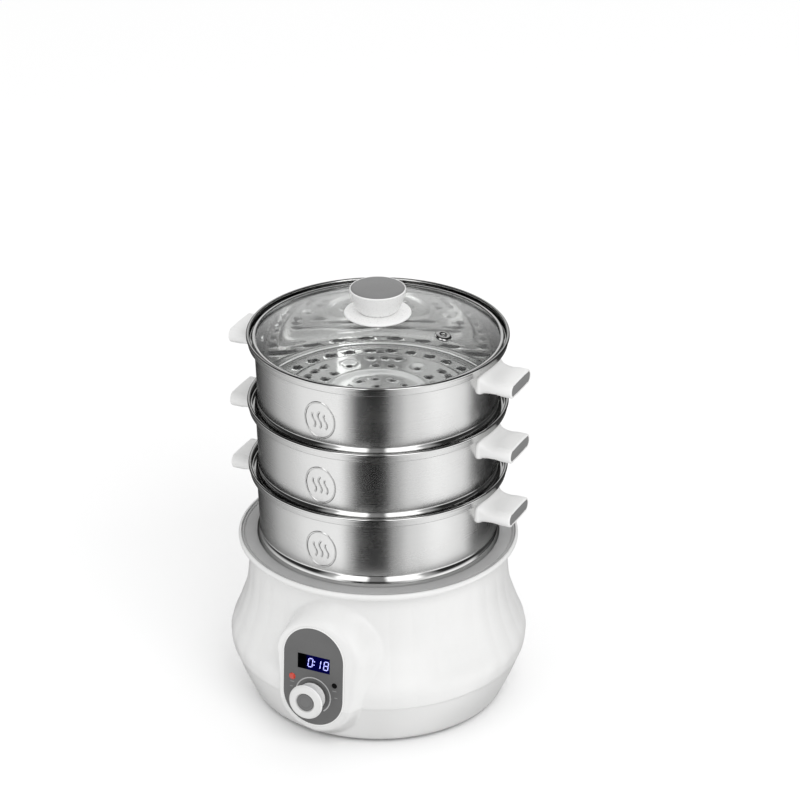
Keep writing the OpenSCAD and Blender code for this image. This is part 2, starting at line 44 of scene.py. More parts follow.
# the trays' common axis stands this far behind the origin
AY = (146.4 + 18.3 * math.cos(3 * D2R) - 145.0) / 2 * MM
PANEL_Y, PANEL_Z, TILT = 146.4, 59.3, 3.0
RIM = {1: 244.5, 2: 312.5, 3: 380.5}
LID_Z = 372.0
DOME_TOP = LID_Z + 28.9
DOME_R, GLASS_T = 290.0, 3.5
DOME_C = DOME_TOP - DOME_R

# ------------------------------------------------------------------ camera

AZ, EL, DIST = 25.0 * D2R, 26.31 * D2R, 3.346
right = Vector((math.cos(AZ), math.sin(AZ), 0))
look = Vector((-math.sin(AZ) * math.cos(EL), math.cos(AZ) * math.cos(EL), -math.sin(EL)))
aim = Vector((0, AY, 0.3075)) + right * 0.021
cam_data = bpy.data.cameras.new("camera")
cam = bpy.data.objects.new("camera", cam_data)
bpy.context.scene.collection.objects.link(cam)
cam_data.sensor_width = 36.0
cam_data.lens = 157.5
cam_data.clip_start, cam_data.clip_end = 0.05, 60.0
cam.location = aim - look * DIST
cam.rotation_euler = look.to_track_quat("-Z", "Y").to_euler()
bpy.context.scene.camera = cam


# ------------------------------------------------------------------ node helpers

class Mat:
    """A small builder round a node material."""

    def __init__(self, name):
        self.m = bpy.data.materials.new(name)
        self.m.use_nodes = True
        self.t = self.m.node_tree
        self.t.nodes.clear()
        self.out = self.t.nodes.new("ShaderNodeOutputMaterial")
        self.b = self.t.nodes.new("ShaderNodeBsdfPrincipled")
        self.t.links.new(self.b.outputs[0], self.out.inputs["Surface"])

    def n(self, kind, **props):
        node = self.t.nodes.new(kind)
        for k, v in props.items():
            setattr(node, k, v)
        return node

    def link(self, a, b):
        self.t.links.new(a, b)

    def set(self, **vals):
        for k, v in vals.items():
            self.b.inputs[k.replace("_", " ")].default_value = v
        return self

    def coords(self):
        return self.n("ShaderNodeTexCoord").outputs["Object"]

    def scaled(self, src, scale):
        mp = self.n("ShaderNodeMapping")
        mp.inputs["Scale"].default_value = scale
        self.link(src, mp.inputs["Vector"])
        return mp.outputs["Vector"]

    def noise(self, src, scale, detail=3.0, rough=0.55):
        nz = self.n("ShaderNodeTexNoise")
        nz.inputs["Scale"].default_value = scale
        nz.inputs["Detail"].default_value = detail
        nz.inputs["Roughness"].default_value = rough
        self.link(src, nz.inputs["Vector"])
        return nz.outputs["Fac"]

    def remap(self, src, a, b, lo=0.0, hi=1.0):
        r = self.n("ShaderNodeMapRange")
        r.interpolation_type = "SMOOTHSTEP"
        r.inputs["From Min"].default_value = lo
        r.inputs["From Max"].default_value = hi
        r.inputs["To Min"].default_value = a
        r.inputs["To Max"].default_value = b
        self.link(src, r.inputs["Value"])
        return r.outputs["Result"]

    def ramp(self, src, stops, mode="EASE"):
        r = self.n("ShaderNodeValToRGB")
        r.color_ramp.interpolation = mode
        el = r.color_ramp.elements
        while len(el) < len(stops):
            el.new(0.5)
        for e, (p, c) in zip(el, stops):
            e.position = p
            e.color = c if len(c) == 4 else (*c, 1)
        self.link(src, r.inputs["Fac"])
        return r.outputs["Color"]

    def bump(self, height, dist, strength=1.0, into=True):
        bp = self.n("ShaderNodeBump")
        bp.inputs["Strength"].default_value = strength
        bp.inputs["Distance"].default_value = dist
        self.link(height, bp.inputs["Height"])
        if into:
            self.link(bp.outputs["Normal"], self.b.inputs["Normal"])
        return bp.outputs["Normal"]

    def math(self, op, a, b=None):
        m = self.n("ShaderNodeMath", operation=op)
        for i, v in enumerate((a, b)):
            if v is None:
                continue
            if isinstance(v, (int, float)):
                m.inputs[i].default_value = v
            else:
                self.link(v, m.inputs[i])
        return m.outputs[0]


def white_plastic():
    k = Mat("white_plastic")
    c = k.coords()
    fine = k.noise(k.scaled(c, (1, 1, 1)), 900, 2)
    broad = k.noise(c, 14, 2)
    k.link(k.ramp(broad, [(0.1, (0.765, 0.765, 0.76)), (0.9, (0.78, 0.78, 0.775))]), k.b.inputs["Base Color"])
    k.link(k.remap(broad, 0.28, 0.32, 0.0, 1.0), k.b.inputs["Roughness"])
    k.bump(fine, 0.00003, 0.25)
    k.set(Specular_IOR_Level=0.5)
    return k.m


def base_plastic():
    """White moulding; the band under the crease is painted a little darker, as painted shade for the downward-facing
    band.
    """
    k = Mat("base_plastic")
    c = k.coords()
    sep = k.n("ShaderNodeSeparateXYZ")
    k.link(c, sep.inputs[0])
    broad = k.noise(c, 9, 2)
    fine = k.noise(c, 900, 2)
    upper = k.ramp(broad, [(0.0, (0.725, 0.725, 0.72)), (1.0, (0.73, 0.73, 0.725))])
    # painted shade: the band under the crease gets a darker colour than the upper body
    lower_band_painted_shade = k.ramp(broad, [(0.0, (0.675, 0.675, 0.67)), (1.0, (0.68, 0.68, 0.675))])
    step = k.remap(sep.outputs[2], 0.0, 1.0, 0.0481, 0.0489)
    mix = k.n("ShaderNodeMix", data_type="RGBA")
    k.link(step, mix.inputs[0])
    k.link(lower_band_painted_shade, mix.inputs[6])
    k.link(upper, mix.inputs[7])
    k.link(mix.outputs[2], k.b.inputs["Base Color"])
    k.link(k.remap(broad, 0.275, 0.285, 0.0, 1.0), k.b.inputs["Roughness"])
    k.bump(fine, 0.00003, 0.22)
    return k.m


def plain_plastic(name, lo, hi, rough=(0.4, 0.5), grain=0.00004, scale=700, **sets):
    k = Mat(name)
    c = k.coords()
    broad = k.noise(c, 30, 3)
    fine = k.noise(c, scale, 3)
    k.link(k.ramp(broad, [(0.3, lo), (0.7, hi)]), k.b.inputs["Base Color"])
    k.link(k.remap(fine, rough[0], rough[1], 0.3, 0.7), k.b.inputs["Roughness"])
    k.bump(fine, grain, 0.4)
    k.set(**sets)
    return k.m


def satin_steel():
    """Sheet steel with a fine turned grain that runs round the tray."""
    k = Mat("satin_steel")
    c = k.coords()
    sep = k.n("ShaderNodeSeparateXYZ")
    k.link(c, sep.inputs[0])
    ang = k.math("ARCTAN2", sep.outputs[1], sep.outputs[0])
    comb = k.n("ShaderNodeCombineXYZ")
    k.link(k.math("MULTIPLY", ang, 0.6), comb.inputs[0])
    k.link(k.math("MULTIPLY", sep.outputs[2], 2600.0), comb.inputs[1])
    lines = k.noise(comb.outputs[0], 1.0, 4, 0.6)
    cloud = k.noise(c, 26, 3)
    k.link(k.ramp(lines, [(0.2, (0.71, 0.71, 0.705)), (0.8, (0.75, 0.75, 0.745))]), k.b.inputs["Base Color"])
    r1 = k.remap(lines, 0.25, 0.275, 0.2, 0.8)
    r2 = k.remap(cloud, -0.015, 0.02, 0.3, 0.7)
    k.link(k.math("ADD", r1, r2), k.b.inputs["Roughness"])
    k.bump(lines, 0.00001, 0.1)
    tan = k.n("ShaderNodeTangent", direction_type="RADIAL", axis="Z")
    k.link(tan.outputs[0], k.b.inputs["Tangent"])
    k.set(Metallic=1.0, Anisotropic=0.85, Anisotropic_Rotation=0.25)
    k.b.inputs["Specular Tint"].default_value = (0.3, 0.3, 0.3, 1)
    return k.m


def bright_steel(name="bright_steel", rough=(0.04, 0.08), lo=(0.68, 0.68, 0.675), hi=(0.72, 0.72, 0.715), wob=0.00012, grazing=0.1, metal=1.0):
    """Polished sheet steel, with the slight waviness that pressing leaves."""
    k = Mat(name)
    c = k.coords()
    wave = k.noise(c, 34, 2)
    fine = k.noise(c, 60, 2)
    k.link(k.ramp(fine, [(0.1, lo), (0.9, hi)]), k.b.inputs["Base Color"])
    k.link(k.remap(fine, rough[0], rough[1], 0.1, 0.9), k.b.inputs["Roughness"])
    if wob:
        k.bump(wave, wob, 0.35)
    k.set(Metallic=metal)
    k.b.inputs["Specular Tint"].default_value = (grazing, grazing, grazing, 1)
    return k.m


def glass_mat():
    k = Mat("clear_glass")
    c = k.coords()
    k.link(k.remap(k.noise(c, 60, 2), 0.0, 0.02, 0.3, 0.7), k.b.inputs["Roughness"])
    k.set(Base_Color=(0.965, 0.975, 0.97, 1), Transmission_Weight=1.0, IOR=1.46)
    k.b.inputs["Base Color"].default_value = (0.97, 0.98, 0.975, 1)
    return k.m


def lamp_mat(name, col, glow, strength):
    k = Mat(name)
    c = k.coords()
    f = k.noise(c, 500, 2)
    k.link(k.ramp(f, [(0.3, tuple(x * 0.8 for x in col)), (0.7, col)]), k.b.inputs["Base Color"])
    k.link(k.remap(f, 0.08, 0.14, 0.3, 0.7), k.b.inputs["Roughness"])
    k.set(Coat_Weight=0.6)
    if strength:
        k.link(k.ramp(f, [(0.3, tuple(x * 0.8 for x in glow)), (0.7, glow)]), k.b.inputs["Emission Color"])
        k.set(Emission_Strength=strength)
    return k.m


def display_mat():
    """Smoked window; the lit digits behind it leave a blue haze on the right three quarters."""
    k = Mat("display_window")
    c = k.coords()
    sep = k.n("ShaderNodeSeparateXYZ")
    k.link(c, sep.inputs[0])
    f = k.noise(c, 260, 2)
    ux = k.remap(sep.outputs[0], 0.0, 1.0, -0.0095, -0.0045)
    haze = k.math("MULTIPLY", ux, k.remap(f, 0.85, 1.1, 0.3, 0.7))
    k.link(k.ramp(haze, [(0.0, (0.0, 0.0, 0.0)), (1.0, (0.0, 0.0, 0.045))]), k.b.inputs["Emission Color"])
    k.link(k.ramp(f, [(0.3, (0.0004, 0.0004, 0.0006)), (0.7, (0.0008, 0.0008, 0.001))]), k.b.inputs["Base Color"])
    k.link(k.remap(f, 0.1, 0.16, 0.3, 0.7), k.b.inputs["Roughness"])
    k.set(Emission_Strength=1.0, Specular_IOR_Level=0.0)
    return k.m


def digit_mat():
    k = Mat("lit_segments")
    c = k.coords()
    f = k.noise(c, 900, 2)
    k.link(k.ramp(f, [(0.25, (0.36, 0.38, 1.0)), (0.75, (0.62, 0.64, 1.0))]), k.b.inputs["Emission Color"])
    k.set(Emission_Strength=1.25, Roughness=0.4)
    k.b.inputs["Base Color"].default_value = (0.2, 0.2, 0.6, 1)
    return k.m


M = {
    "white": white_plastic(),
    "base": base_plastic(),
    "satin": satin_steel(),
    "bright": bright_steel(),
    "floor": bright_steel("floor_steel", (0.17, 0.20), (0.76, 0.76, 0.755), (0.79, 0.79, 0.785), 0, 1.0, 0.65),
    "channel": bright_steel("channel_steel", (0.07, 0.10), (0.66, 0.66, 0.655), (0.70, 0.70, 0.695), 0, 0.3),
    # painted light: tray 1's floor and channel steel are coloured much lighter than the same steel on the other trays,
    # standing in for the light the tray above shades off them
    "steam_floor_painted_light": bright_steel("steam_floor_steel_painted_light", (0.20, 0.24), (0.94, 0.94, 0.935), (0.97, 0.97, 0.965), 0, 1.0, 0.22),
    "steam_channel_painted_light": bright_steel("steam_channel_steel_painted_light", (0.07, 0.10), (0.88, 0.88, 0.875), (0.92, 0.92, 0.915), 0, 0.6, 0.72),
    "rim": bright_steel("rim_steel", (0.14, 0.20), (0.82, 0.82, 0.815), (0.88, 0.88, 0.875), 0, 0.6),
    "mirror": bright_steel("polished_steel", (0.02, 0.05), (0.56, 0.56, 0.56), (0.64, 0.64, 0.64), 0.00015),
    # painted reflection: the polished tube is coloured near black to stand in for the dark surroundings it mirrors
    "tube_painted_dark_reflection": bright_steel("tube_steel_painted_dark_reflection", (0.08, 0.13), (0.16, 0.16, 0.16), (0.185, 0.185, 0.185), 0),
    "plated": bright_steel("plated_steel", (0.18, 0.28), (0.56, 0.56, 0.56), (0.66, 0.66, 0.66), 0),
    "ring": plain_plastic("ring_plastic", (0.40, 0.40, 0.40), (0.43, 0.43, 0.43), (0.42, 0.55)),
    "panel": plain_plastic("panel_grey", (0.098, 0.098, 0.098), (0.108, 0.108, 0.108), (0.38, 0.48)),
    "print": plain_plastic("pale_print", (0.40, 0.40, 0.40), (0.46, 0.46, 0.46), (0.4, 0.5)),
    "cap": plain_plastic("cap_grey", (0.20, 0.20, 0.20), (0.215, 0.215, 0.215), (0.36, 0.46)),
    "cap_dark": plain_plastic("dial_cap_grey", (0.125, 0.125, 0.125), (0.135, 0.135, 0.135), (0.36, 0.46)),
    "rubber": plain_plastic("foot_rubber", (0.02, 0.02, 0.021), (0.03, 0.03, 0.031), (0.6, 0.75), 0.0001),
    "silicone": plain_plastic("silicone", (0.62, 0.62, 0.60), (0.68, 0.68, 0.66), (0.45, 0.6)),
    "alu": bright_steel("cast_aluminium", (0.34, 0.5), (0.60, 0.60, 0.61), (0.70, 0.70, 0.71), 0.0003),
    "sheath": plain_plastic("element_sheath", (0.05, 0.05, 0.052), (0.09, 0.085, 0.08), (0.4, 0.6), Metallic=0.9),
    "sleeve": plain_plastic("fuse_sleeve", (0.42, 0.34, 0.2), (0.52, 0.43, 0.27), (0.7, 0.85), 0.0002, 1500),
    "module": plain_plastic("module_dark", (0.02, 0.02, 0.022), (0.03, 0.03, 0.032), (0.4, 0.5)),
    "pcb": plain_plastic("circuit_board", (0.012, 0.09, 0.04), (0.02, 0.12, 0.05), (0.3, 0.42), 0.0001, 1200),
    "ivory": plain_plastic("ivory_plastic", (0.60, 0.56, 0.44), (0.66, 0.61, 0.49), (0.4, 0.5)),
    "glass": glass_mat(),
    "red": lamp_mat("lamp_red", (0.50, 0.032, 0.014), (1.0, 0.10, 0.03), 0.06),
    "black_lamp": plain_plastic("lamp_dark", (0.0015, 0.0015, 0.0015), (0.002, 0.002, 0.002), (0.5, 0.6), Specular_IOR_Level=0.1),
    "faint": plain_plastic("faint_print", (0.23, 0.23, 0.23), (0.26, 0.26, 0.26), (0.4, 0.5)),
    # painted shade: the dial's face is coloured darker than its white plastic to cancel the bright light it catches
    "dial_face_painted_dark": plain_plastic("dial_face_white_painted_dark", (0.64, 0.64, 0.635), (0.66, 0.66, 0.655), (0.28, 0.34), 0.00002),
    "knob": plain_plastic("knob_white", (0.82, 0.82, 0.815), (0.84, 0.84, 0.835), (0.26, 0.32), 0.00002),
    # painted light: the dial's side is coloured lighter than its white plastic to cancel the shade it sits in
    "dial": plain_plastic("dial_side_white_painted_light", (0.80, 0.80, 0.795), (0.82, 0.82, 0.815), (0.28, 0.34), 0.00002),
    "display": display_mat(),
    "digits": digit_mat(),
}


# ------------------------------------------------------------------ mesh helpers

def add(name, verts, faces, mat, body, slot=None, replaces=(), at=(0, AY, 0), angle=35, closed=True, matrix=None):
    """verts in millimetres round the trays' axis."""
    me = bpy.data.meshes.new(name)
    v = np.asarray(verts, float) * MM
    if matrix is not None:
        # the turn goes into the mesh, so that the object's own axes stay square to the row frame
        v = v @ np.array(matrix.to_3x3()).T
    me.from_pydata(v.tolist(), [], [tuple(int(i) for i in f) for f in faces])
    me.validate()
    if closed:
        bm = bmesh.new()
        bm.from_mesh(me)
        bmesh.ops.remove_doubles(bm, verts=bm.verts, dist=1e-7)
        bmesh.ops.recalc_face_normals(bm, faces=bm.faces)
        bm.to_mesh(me)
        bm.free()
    me.materials.append(M[mat])
    me.shade_smooth()
    if angle:
        me.set_sharp_from_angle(angle=angle * D2R)
    ob = bpy.data.objects.new(name, me)
    bpy.context.scene.collection.objects.link(ob)
    ob.location = at if matrix is None else matrix.to_translation()
    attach(ob, body)
    if replaces:
        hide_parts(*replaces)
    return ob


def curve_pts(pts, step=0.8):
    """A smooth line through the points (centripetal spline), sampled about every step mm."""
    p = np.asarray(pts, float)
    if len(p) < 3:
        n = max(1, int(round(np.linalg.norm(p[-1] - p[0]) / step)))
        return [tuple(p[0] + (p[-1] - p[0]) * i / n) for i in range(n + 1)]
    ext = np.vstack([2 * p[0] - p[1], p, 2 * p[-1] - p[-2]])
    out = []
    for i in range(1, len(ext) - 2):
        p0, p1, p2, p3 = ext[i - 1 : i + 3]
        t0 = 0.0
        t1 = t0 + max(1e-6, np.linalg.norm(p1 - p0)) ** 0.5
        t2 = t1 + max(1e-6, np.linalg.norm(p2 - p1)) ** 0.5
        t3 = t2 + max(1e-6, np.linalg.norm(p3 - p2)) ** 0.5
        n = max(1, int(round(np.linalg.norm(p2 - p1) / step)))
        for j in range(n):
            t = t1 + (t2 - t1) * j / n
            a1 = (t1 - t) / (t1 - t0) * p0 + (t - t0) / (t1 - t0) * p1
            a2 = (t2 - t) / (t2 - t1) * p1 + (t - t1) / (t2 - t1) * p2
            a3 = (t3 - t) / (t3 - t2) * p2 + (t - t2) / (t3 - t2) * p3
            b1 = (t2 - t) / (t2 - t0) * a1 + (t - t0) / (t2 - t0) * a2
            b2 = (t3 - t) / (t3 - t1) * a2 + (t - t1) / (t3 - t1) * a3
            out.append(tuple((t2 - t) / (t2 - t1) * b1 + (t - t1) / (t2 - t1) * b2))
    out.append(tuple(p[-1]))
    return out


def arc(cx, cy, r, a0, a1, n=8):
    return [(cx + r * math.cos((a0 + (a1 - a0) * i / n) * D2R), cy + r * math.sin((a0 + (a1 - a0) * i / n) * D2R)) for i in range(n + 1)]


def join_lines(*parts):
    out = []
    for part in parts:
        for q in part:
            if not out or math.hypot(q[0] - out[-1][0], q[1] - out[-1][1]) > 1e-4:
                out.append((float(q[0]), float(q[1])))
    return out


def fillet(poly, radii, n=6):
    """Rounds the corners of a closed outline; radii maps corner index to radius."""
    out = []
    k = len(poly)
    for i, p in enumerate(poly):
        r = radii.get(i, 0) if isinstance(radii, dict) else radii
        p = np.array(p, float)
        if r <= 0:
            out.append(tuple(p))
            continue
        a, b = np.array(poly[i - 1], float) - p, np.array(poly[(i + 1) % k], float) - p
        la, lb = np.linalg.norm(a), np.linalg.norm(b)
        a, b = a / la, b / lb
        cosv = float(np.clip(a @ b, -1, 1))
        th = math.acos(cosv)
        if th < 1e-3 or th > math.pi - 1e-3:
            out.append(tuple(p))
            continue
        d = min(r / math.tan(th / 2), la * 0.49, lb * 0.49)
        rr = d * math.tan(th / 2)
        bis = (a + b) / np.linalg.norm(a + b)
        c = p + bis * (rr / math.sin(th / 2))
        s, e = p + a * d - c, p + b * d - c
        a0, a1 = math.atan2(s[1], s[0]), math.atan2(e[1], e[0])
        da = (a1 - a0 + math.pi) % (2 * math.pi) - math.pi
        for j in range(n + 1):
            t = a0 + da * j / n
            out.append((c[0] + rr * math.cos(t), c[1] + rr * math.sin(t)))
    return out


def lathe_mesh(prof, seg=192, close=True):
    """Revolves (r, z) points round Z. A closed outline that doesn't reach the axis gives a ring."""
    verts, faces, rows = [], [], []
    for r, z in prof:
        if r < 1e-6:
            rows.append([len(verts)] * seg)
            verts.append((0, 0, z))
        else:
            rows.append(list(range(len(verts), len(verts) + seg)))
            for i in range(seg):
                a = 2 * math.pi * i / seg
                verts.append((r * math.cos(a), r * math.sin(a), z))
    n = len(rows)
    for k in range(n if close else n - 1):
        a, b = rows[k], rows[(k + 1) % n]
        for i in range(seg):
            j = (i + 1) % seg
            q = [a[i], a[j], b[j], b[i]]
            u = []
            for x in q:
                if x not in u:
                    u.append(x)
            if len(u) >= 3:
                faces.append(u)
    return verts, faces


def lathe(name, prof, mat, body, slot, replaces=(), seg=192, close=True, **kw):
    v, f = lathe_mesh(prof, seg, close)
    return add(name, v, f, mat, body, slot, replaces, **kw)


def stadium(r, length, n=40):
    """Outline in the panel's plane, from the right round the top."""
    pts = [(r * math.cos(a), length + r * math.sin(a)) for a in np.linspace(0, math.pi, n + 1)]
    pts += [(r * math.cos(a), r * math.sin(a)) for a in np.linspace(math.pi, 2 * math.pi, n + 1)]
    return pts


# the panel's own frame: x right, y up the panel, z out of it, in the row frame
PANEL = Matrix.Translation((0, AY - PANEL_Y * MM, PANEL_Z * MM)) @ Matrix.Rotation((90 - TILT) * D2R, 4, "X")


# ------------------------------------------------------------------ base shell

OUT = [[121, 3.2], [122.7, 4.1], [124.2, 6.2], [125.7, 9], [127.7, 13.2], [131.6, 21.7], [135.2, 30], [138.3, 38], [141.1, 46.6]]
OUT2 = [[142.7, 48.9], [143.4, 50.8], [144.4, 56], [145, 62.5], [144.3, 67.5],
        [142.7, 72.5], [138.4, 82.5], [134.8, 92.5], [131.3, 102.5], [128.8, 112.5], [127.2, 122.5],
        [126.4, 132.5], [125.6, 142.5], [124.9, 152.5], [125, 156.5], [126.2, 159.8], [129.2, 162.0], [132.6, 162.9]]
LIP = [[132.6, 162.9], [134.4, 163.4], [135.6, 164.7], [136, 166.4], [135.5, 168.2], [134.4, 169.2], [133.4, 169.0], [133.0, 168.1]]


def base_profile():
    low = curve_pts(OUT[1:], 1.0)
    step = [(141.25, 47.2), (141.45, 47.8), (141.9, 48.3), (142.4, 48.55)]
    up = curve_pts(OUT2, 1.5)
    lip = curve_pts(LIP, 0.45)
    return join_lines([tuple(OUT[0])], low, step, up, lip)


def panel_reach(z):
    return PANEL_Y - (z - PANEL_Z) * math.tan(TILT * D2R) - 0.3


def egg_distance(x, z):
    """How far outside the flat panel field a point on the front lies, as a share of the lobe's width there (0 to 1)."""
    v = z - PANEL_Z
    r = 33.6
    if v > 39.5:
        dx, dz = abs(x), v - 39.5
    elif v < 0:
        dx, dz = abs(x), v
    else:
        dx, dz = abs(x), 0.0
    d = math.hypot(dx, dz) - r
    if d <= 0:
        return 0.0
    ang = math.atan2(dz if v > 0 else -dz, max(dx, 1e-6)) / D2R  # 0 beside, 90 above, -90 below
    hang = float(np.interp(v, [-30, -20, -12, -4, 5, 20, 38, 60], [13.0, 13.0, 13.5, 14.5, 16.5, 22.0, 27.0, 28.0]))
    if x < 0:
        hang = 5.0
    if ang > 0:
        width = hang + (22.0 - hang) * (ang / 90) ** 1.5
    else:
        width = 4.6 + (hang - 4.6) * (0.5 + 0.5 * math.cos(math.pi * min(1.0, -ang / 85)))
    return d / width


def base_radius(r0, z, phi):
    """phi is the angle from the front, in radians."""
    flute = 0.0
    if 49.5 < z < 158:
        fade = min(1.0, (z - 49.5) / 10) * min(1.0, (158 - z) / 22)
        u = (phi / D2R / 10.0) % 1.0
        flute = 0.4 * fade * (abs(math.sin(math.pi * u)) - 0.64)
    r = r0 + flute
    if abs(phi) < 0.75:
        reach = panel_reach(z) / math.cos(phi)
        x = min(r, reach) * math.sin(phi)
        q = egg_distance(x, z)
        if q < 1.0 and reach > r - 1.0:
            w = 0.5 + 0.5 * math.cos(math.pi * q)
            r = r + w * (reach - r)
    return r


def build_base():
    prof = base_profile()
    # finer columns over the lobe
    ang = list(np.linspace(-46, 46, 231)) + list(np.linspace(46, 314, 269)[1:-1])
    ang = [a * D2R for a in ang]
    n = len(ang)
    verts, rows = [], []
    for r0, z in prof:
        row = []
        for a in ang:
            p = (a + math.pi) % (2 * math.pi) - math.pi
            r = base_radius(r0, z, p) if 2 < z < 162 else r0
            row.append(len(verts))
            verts.append((r * math.sin(p), -r * math.cos(p), z))
        rows.append(row)
    # inside: shelf for the ring, then down the inner face
    inner = [(133.0, 165.4), (118.5, 165.4), (118.5, 163.9), (116, 163.9), (116, 161.8), (122.0, 161.8)]
    inner += [(r - 2.6, z) for r, z in reversed(curve_pts([p for p in OUT2 if 50 < p[1] < 157], 4.0))]
    inner += [(r - 2.6, z) for r, z in reversed(curve_pts(OUT[3:], 4.0))] + [(121, 5.2)]
    for r0, z in inner:
        row = []
        for a in ang:
            p = (a + math.pi) % (2 * math.pi) - math.pi
            r = r0
            if z < 158 and abs(p) < 0.75:
                r = max(r0, base_radius(r0 + 2.6, z, p) - 3.2)
            row.append(len(verts))
            verts.append((r * math.sin(p), -r * math.cos(p), z))
        rows.append(row)
    faces = []
    m = len(rows)
    for k in range(m):
        a, b = rows[k], rows[(k + 1) % m]
        for i in range(n):
            j = (i + 1) % n
            faces.append((a[i], a[j], b[j], b[i]))
    ob = add("base_shell_skin", verts, faces, "base", "base", "white_plastic", ("base_shell",), angle=32)
    # the panel's seat and the gland's hole are cut out
    cut_v, cut_f = prism(stadium(32.6, 39.5, 32), -34, 4)
    cme = bpy.data.meshes.new("cutter")
    mat_axis = Matrix.Translation((0, -AY, 0)) @ PANEL
    cme.from_pydata([tuple(mat_axis @ Vector([c * MM for c in v])) for v in cut_v], [], cut_f)
    bm = bmesh.new()
    bm.from_mesh(cme)
    gl = bmesh.ops.create_cone(bm, cap_ends=True, segments=40, radius1=0.0065, radius2=0.0065, depth=0.03)
    bmesh.ops.transform(bm, matrix=Matrix.Translation((0, 0.134, 0.024)) @ Matrix.Rotation(math.pi / 2, 4, "X"), verts=gl["verts"])
    bmesh.ops.recalc_face_normals(bm, faces=bm.faces)
    bm.to_mesh(cme)
    bm.free()
    cut = bpy.data.objects.new("cutter", cme)
    bpy.context.scene.collection.objects.link(cut)
    cut.location = (0, AY, 0)
    bpy.context.view_layer.update()
    mod = ob.modifiers.new("cut", "BOOLEAN")
    mod.operation = "DIFFERENCE"
    mod.solver = "EXACT"
    mod.object = cut
    dg = bpy.context.evaluated_depsgraph_get()
    new = bpy.data.meshes.new_from_object(ob.evaluated_get(dg))
    ob.modifiers.clear()
    old = ob.data
    ob.data = new
    bpy.data.meshes.remove(old)
    bpy.data.objects.remove(cut)
    ob.data.materials.clear()
    ob.data.materials.append(M["base"])
    ob.data.shade_smooth()
    ob.data.set_sharp_from_angle(angle=32 * D2R)
    return ob


def prism(outline, z0, z1):
    n = len(outline)
    v = [(x, y, z0) for x, y in outline] + [(x, y, z1) for x, y in outline]
    f = [tuple(range(n - 1, -1, -1)), tuple(range(n, 2 * n))]
    f += [(i, (i + 1) % n, n + (i + 1) % n, n + i) for i in range(n)]
    return v, f


build_base()

lathe("support_ring_skin", fillet([(114.2, 165.4), (132.8, 165.4), (132.8, 168.0), (130.6, 168.0), (130.2, 167.3), (129.7, 167.3), (129.3, 168.0), (114.2, 168.0)],
      {0: 0.2, 2: 0.5, 3: 0.3, 6: 0.3, 7: 0.6}, 4), "ring", "base", "ring_plastic", ("support_ring",), angle=40)


# ------------------------------------------------------------------ panel and dial

def sweep_stadium(name, prof, length, mat, body, slot, replaces=(), n=48, angle=35):
    """prof: closed outline of (radius of the stadium's ends, height out of the panel)."""
    verts, rows = [], []
    for r, h in prof:
        o = stadium(r, length, n)
        rows.append(list(range(len(verts), len(verts) + len(o))))
        verts += [(x, y, h) for x, y in o]
    faces = []
    m, k = len(rows), len(rows[0])
    for a in range(m):
        p, q = rows[a], rows[(a + 1) % m]
        for i in range(k):
            j = (i + 1) % k
            faces.append((p[i], p[j], q[j], q[i]))
    return add(name, verts, faces, mat, body, slot, replaces, matrix=PANEL, angle=angle)


sweep_stadium("panel_bezel_skin", fillet([(31.25, -2.2), (32.55, -2.2), (32.55, 0.7), (31.25, 0.7)], {2: 0.6, 3: 0.45}, 5),
              39.5, "white", "base", "white_plastic", ("panel_bezel",))


def flat_path(name, path, width, thick, z, mat, closed=False):
    """A thin printed line that lies on the panel; path in panel millimetres."""
    p = np.asarray(path, float)
    k = len(p)
    verts, rows = [], []
    for i in range(k):
        a = p[(i - 1) % k] if closed or i > 0 else p[i]
        b = p[(i + 1) % k] if closed or i < k - 1 else p[i]
        t = (b - a) / max(1e-9, np.linalg.norm(b - a))
        nrm = np.array([-t[1], t[0]])
        lo, hi = p[i] - nrm * width / 2, p[i] + nrm * width / 2
        rows.append(list(range(len(verts), len(verts) + 4)))
        verts += [(lo[0], lo[1], z - thick), (hi[0], hi[1], z - thick), (hi[0], hi[1], z), (lo[0], lo[1], z)]
    faces = []
    for i in range(k if closed else k - 1):
        a, b = rows[i], rows[(i + 1) % k]
        faces += [(a[j], a[(j + 1) % 4], b[(j + 1) % 4], b[j]) for j in range(4)]
    if not closed:
        faces += [tuple(rows[0]), tuple(reversed(rows[-1]))]
    return add(name, verts, faces, mat, "base", None, matrix=PANEL, angle=30)


# scale arc round the dial, with its end dot
flat_path("dial_scale_arc", [(18.3 * math.cos(a * D2R), 18.3 * math.sin(a * D2R)) for a in range(172, -53, -2)], 1.15, 0.3, 0.08, "print")


def disc(name, cx, cy, r, z0, z1, mat, n=24):
    v, f = prism([(cx + r * math.cos(2 * math.pi * i / n), cy + r * math.sin(2 * math.pi * i / n)) for i in range(n)], z0, z1)
    return add(name, v, f, mat, "base", None, matrix=PANEL, angle=30)


disc("scale_dot", 18.3 * math.cos(0.0), 18.3 * math.sin(0.0), 0.85, -0.2, 0.1, "print")
# small plain marks under the lamps
for i, (x, y, w) in enumerate([(-22.3, 9.6, 4.2), (-23.2, 4.4, 3.0), (22.4, 9.4, 4.2), (24.2, 2.4, 3.2)]):
    flat_path(f"lamp_mark_{i + 1}", [(x - w / 2, y), (x + w / 2, y)], 0.8, 0.3, 0.07, "faint")

# lit digits 0:18, slanted seven-segment figures
WX0, WW, WY, WH = 0.2 - 17.0, 34.0, 34.0, 16.0


def segment_bar(x0, y0, x1, y1, w):
    d = np.array([x1 - x0, y1 - y0], float)
    length = np.linalg.norm(d)
    t = d / length
    nrm = np.array([-t[1], t[0]])
    a, b = np.array([x0, y0]) + t * 0.25, np.array([x1, y1]) - t * 0.25
    h = w / 2
    return [a, a + t * h + nrm * h, b - t * h + nrm * h, b, b - t * h - nrm * h, a + t * h - nrm * h]


def slant(p, y0):
    return (p[0] + (p[1] - y0) * 0.13, p[1])


